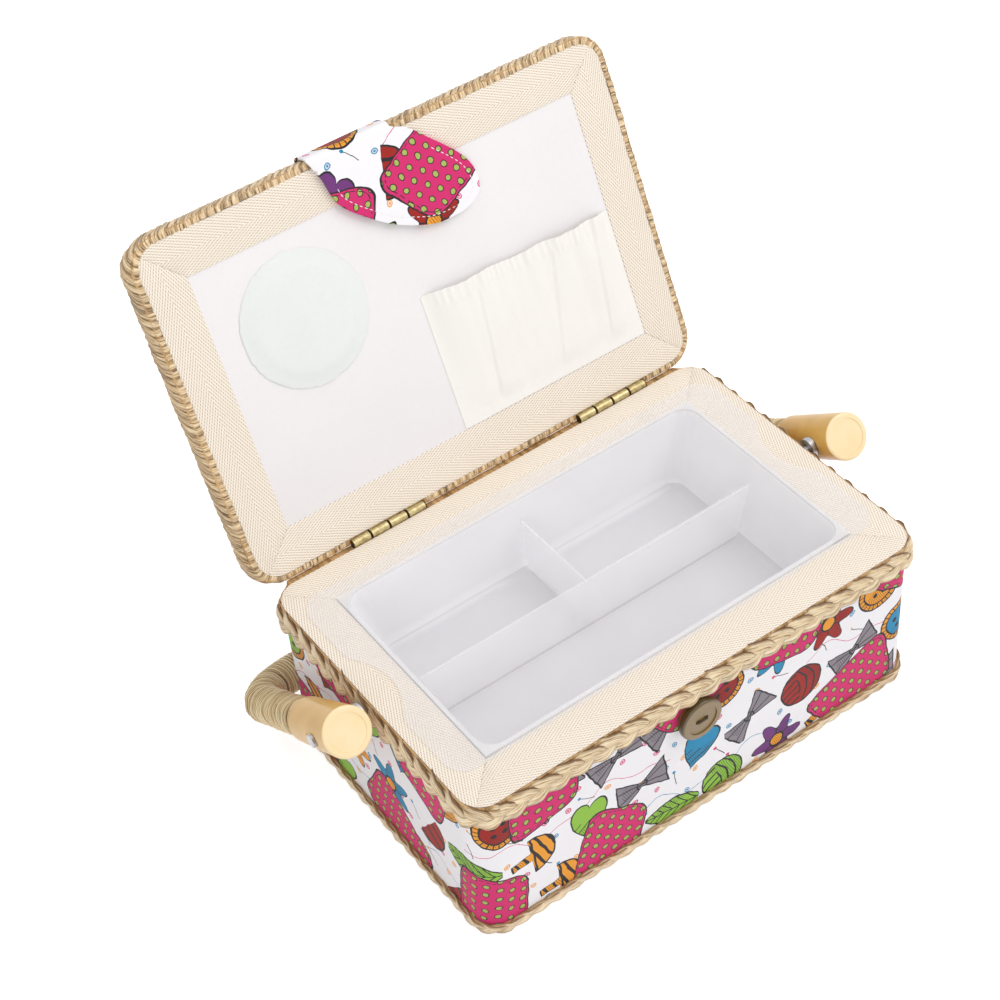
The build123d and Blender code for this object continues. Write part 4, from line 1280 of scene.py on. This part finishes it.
strapRun = [Vector(point) * mm for point in strapLook["run"]]
strapLength = [0.0]                 # along the strap, up to each point
for first, second in zip(strapRun, strapRun[1:]):
    strapLength.append(strapLength[-1] + (second - first).length)


def strapPlace(u, v):
    spot = v * (len(strapRun) - 1)
    first = min(int(spot), len(strapRun) - 2)
    away, out = strapRun[first].lerp(strapRun[first + 1], spot - first)
    past = smoothStep(0.78, 1.0, v)             # past the fold it widens towards the flap
    left = strapLook["left"] + strapLook["spreadLeft"] * past
    right = strapLook["right"] + strapLook["spreadRight"] * past * past
    return left + (right - left) * u, away, out


def strapCloth(co, face):           # the print runs on from the flap along the strap
    spot = Vector((co.y, co.z))
    choices = []
    for start, first, second in zip(strapLength, strapRun, strapRun[1:]):
        run = second - first
        part = clamp((spot - first).dot(run) / run.length_squared)
        choices.append(((spot - first - run * part).length, start + run.length * part))
    return co.x, strapRun[-1].x + strapLength[-1] - min(choices)[1]


strap = formedGrid("tabStrap", 8, 28, strapPlace)
mapCloth(strap, strapCloth)
subdivide(strap, 1)
faceUp(strap, above=0.0)
thicken(strap, strapLook["thickness"], 0.0)
roundEdges(strap, 0.35 * mm, 2, 60)

# one stitch, copied along the flap's round end
stitchLook = {"inset": 4.0 * mm, "length": 1.9 * mm, "gap": 1.0 * mm, "radius": 0.24 * mm,
              "height": 2.02 * mm, "flat": 0.7}
edgeLine = [Vector((row[side], row[0])) * mm
            for side, order in ((2, rows[3:]), (1, rows[:2:-1])) for row in order]
for turn in range(3):               # smooth the line as the cloth's edge is
    edgeLine = [edgeLine[0]] + [first.lerp(second, part)
                                for first, second in zip(edgeLine, edgeLine[1:])
                                for part in (0.25, 0.75)] + [edgeLine[-1]]
seamLine = []
for before, here, after in zip(edgeLine, edgeLine[1:], edgeLine[2:]):
    along = (after - before).normalized()
    seamLine.append(here + Vector((along.y, -along.x)) * stitchLook["inset"])
stitches = []
travelled = nextStitch = 0.0
for first, second in zip(seamLine, seamLine[1:]):
    run = second - first
    if travelled + run.length >= nextStitch:
        spot = first + run * ((nextStitch - travelled) / run.length)
        deselectAll()
        bpy.ops.mesh.primitive_uv_sphere_add(
            segments=8, ring_count=6, radius=stitchLook["radius"],
            location=(spot.x, spot.y, stitchLook["height"]),
            rotation=(0, 0, math.atan2(run.y, run.x)))
        stitch = named("stitch")
        stitch.scale = (stitchLook["length"] / 2 / stitchLook["radius"], 1, stitchLook["flat"])
        applyPlace(stitch)
        stitches.append(stitch)
        nextStitch += stitchLook["length"] + stitchLook["gap"]
    travelled += run.length
seam = join("tabStitches", stitches)
for piece in (flap, strap, seam):
    applyPlace(piece, lidFrame)
finishPiece(seam, "tab_flap", whiteThread)
finishPiece(flap, None, printOnTab, ["tab_flap"], 40)
finishPiece(strap, None, printOnTab, ["tab_strap", "tab_neck"], 40)


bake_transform(flap)
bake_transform(strap)
print("tab done")

# studio
studioLook = {
    "cameraPlace": (-0.4134, -0.5850, 0.8593), "cameraTarget": (0.01107, 0.09805, 0.060),
    "roll": -5.66, "lens": 77.4, "ambient": 0.62, "floorGlow": 0.62,
    # place, target, size and power of each lamp
    "keyLamp": ((0.9, -0.5, 1.5), (0, 0, 0.08), 1.2, 11.5),
    "fillLamp": ((-1.0, -1.3, 0.9), (0, 0, 0.08), 1.3, 8.0),
    "topLamp": ((-0.1, 0.5, 1.8), (0, 0.1, 0.05), 1.4, 3.0),
}


def lookFrom(place, target):
    return (Vector(target) - Vector(place)).to_track_quat("-Z", "Y")


camera = bpy.data.objects.new("camera", bpy.data.cameras.new("camera"))
bpy.context.scene.collection.objects.link(camera)
camera.location = studioLook["cameraPlace"]
camera.rotation_mode = "QUATERNION"
tilt = Matrix.Rotation(math.radians(studioLook["roll"]), 4, "Z").to_quaternion()
camera.rotation_quaternion = lookFrom(camera.location, studioLook["cameraTarget"]) @ tilt
camera.data.lens = studioLook["lens"]
camera.data.sensor_width = 36
camera.data.clip_start = 0.05
camera.data.clip_end = 20
bpy.context.scene.camera = camera

for name in ("keyLamp", "fillLamp", "topLamp"):
    place, target, size, power = studioLook[name]
    deselectAll()
    bpy.ops.object.light_add(type="AREA", location=place)
    lamp = named(name)
    lamp.data.size = size
    lamp.data.energy = power
    lamp.rotation_mode = "QUATERNION"
    lamp.rotation_quaternion = lookFrom(place, target)


def seenDirectly(tree):             # camera, mirror and see-through rays
    rays = wiresOf(addNode(tree, "LightPath"))
    return rays["Is Camera Ray"].either(rays["Is Glossy Ray"]).either(rays["Is Transmission Ray"])


world = bpy.data.worlds.new("softStudio")
bpy.context.scene.world = world
world.use_nodes = True
tree = world.node_tree
tree.nodes.clear()
ambient = addNode(tree, "Background", {"Color": (1, 1, 1), "Strength": studioLook["ambient"]})
backdrop = addNode(tree, "Background", {"Color": (1, 1, 1), "Strength": 1.0})
blended = addNode(tree, "MixShader", {0: seenDirectly(tree), 1: ambient.outputs[0],
                                      2: backdrop.outputs[0]})
addNode(tree, "OutputWorld", {0: blended.outputs[0]})

deselectAll()
bpy.ops.mesh.primitive_plane_add(size=12, location=(0, 0, 0))
floor = named("studioFloor")
floorMaterial, tree, shader = newMaterial("studioFloor", Roughness=0.9, Specular_IOR_Level=0.1)
tone = mixed(tree, noiseAt(placeNode(tree), 3.0, 2.0) * 0.1, (0.8, 0.8, 0.8), (0.78, 0.78, 0.78))
feed(tone, shader.inputs["Base Color"])
glow = addNode(tree, "Emission", {"Color": (1, 1, 1),
                                  "Strength": seenDirectly(tree) * studioLook["floorGlow"]})
lit = addNode(tree, "AddShader", {0: shader.outputs[0], 1: glow.outputs[0]})
feed(lit.outputs[0], tree.nodes["Material Output"].inputs[0])
floor.data.materials.append(floorMaterial)

bpy.context.scene.view_settings.view_transform = "Standard"
print("scene ready")
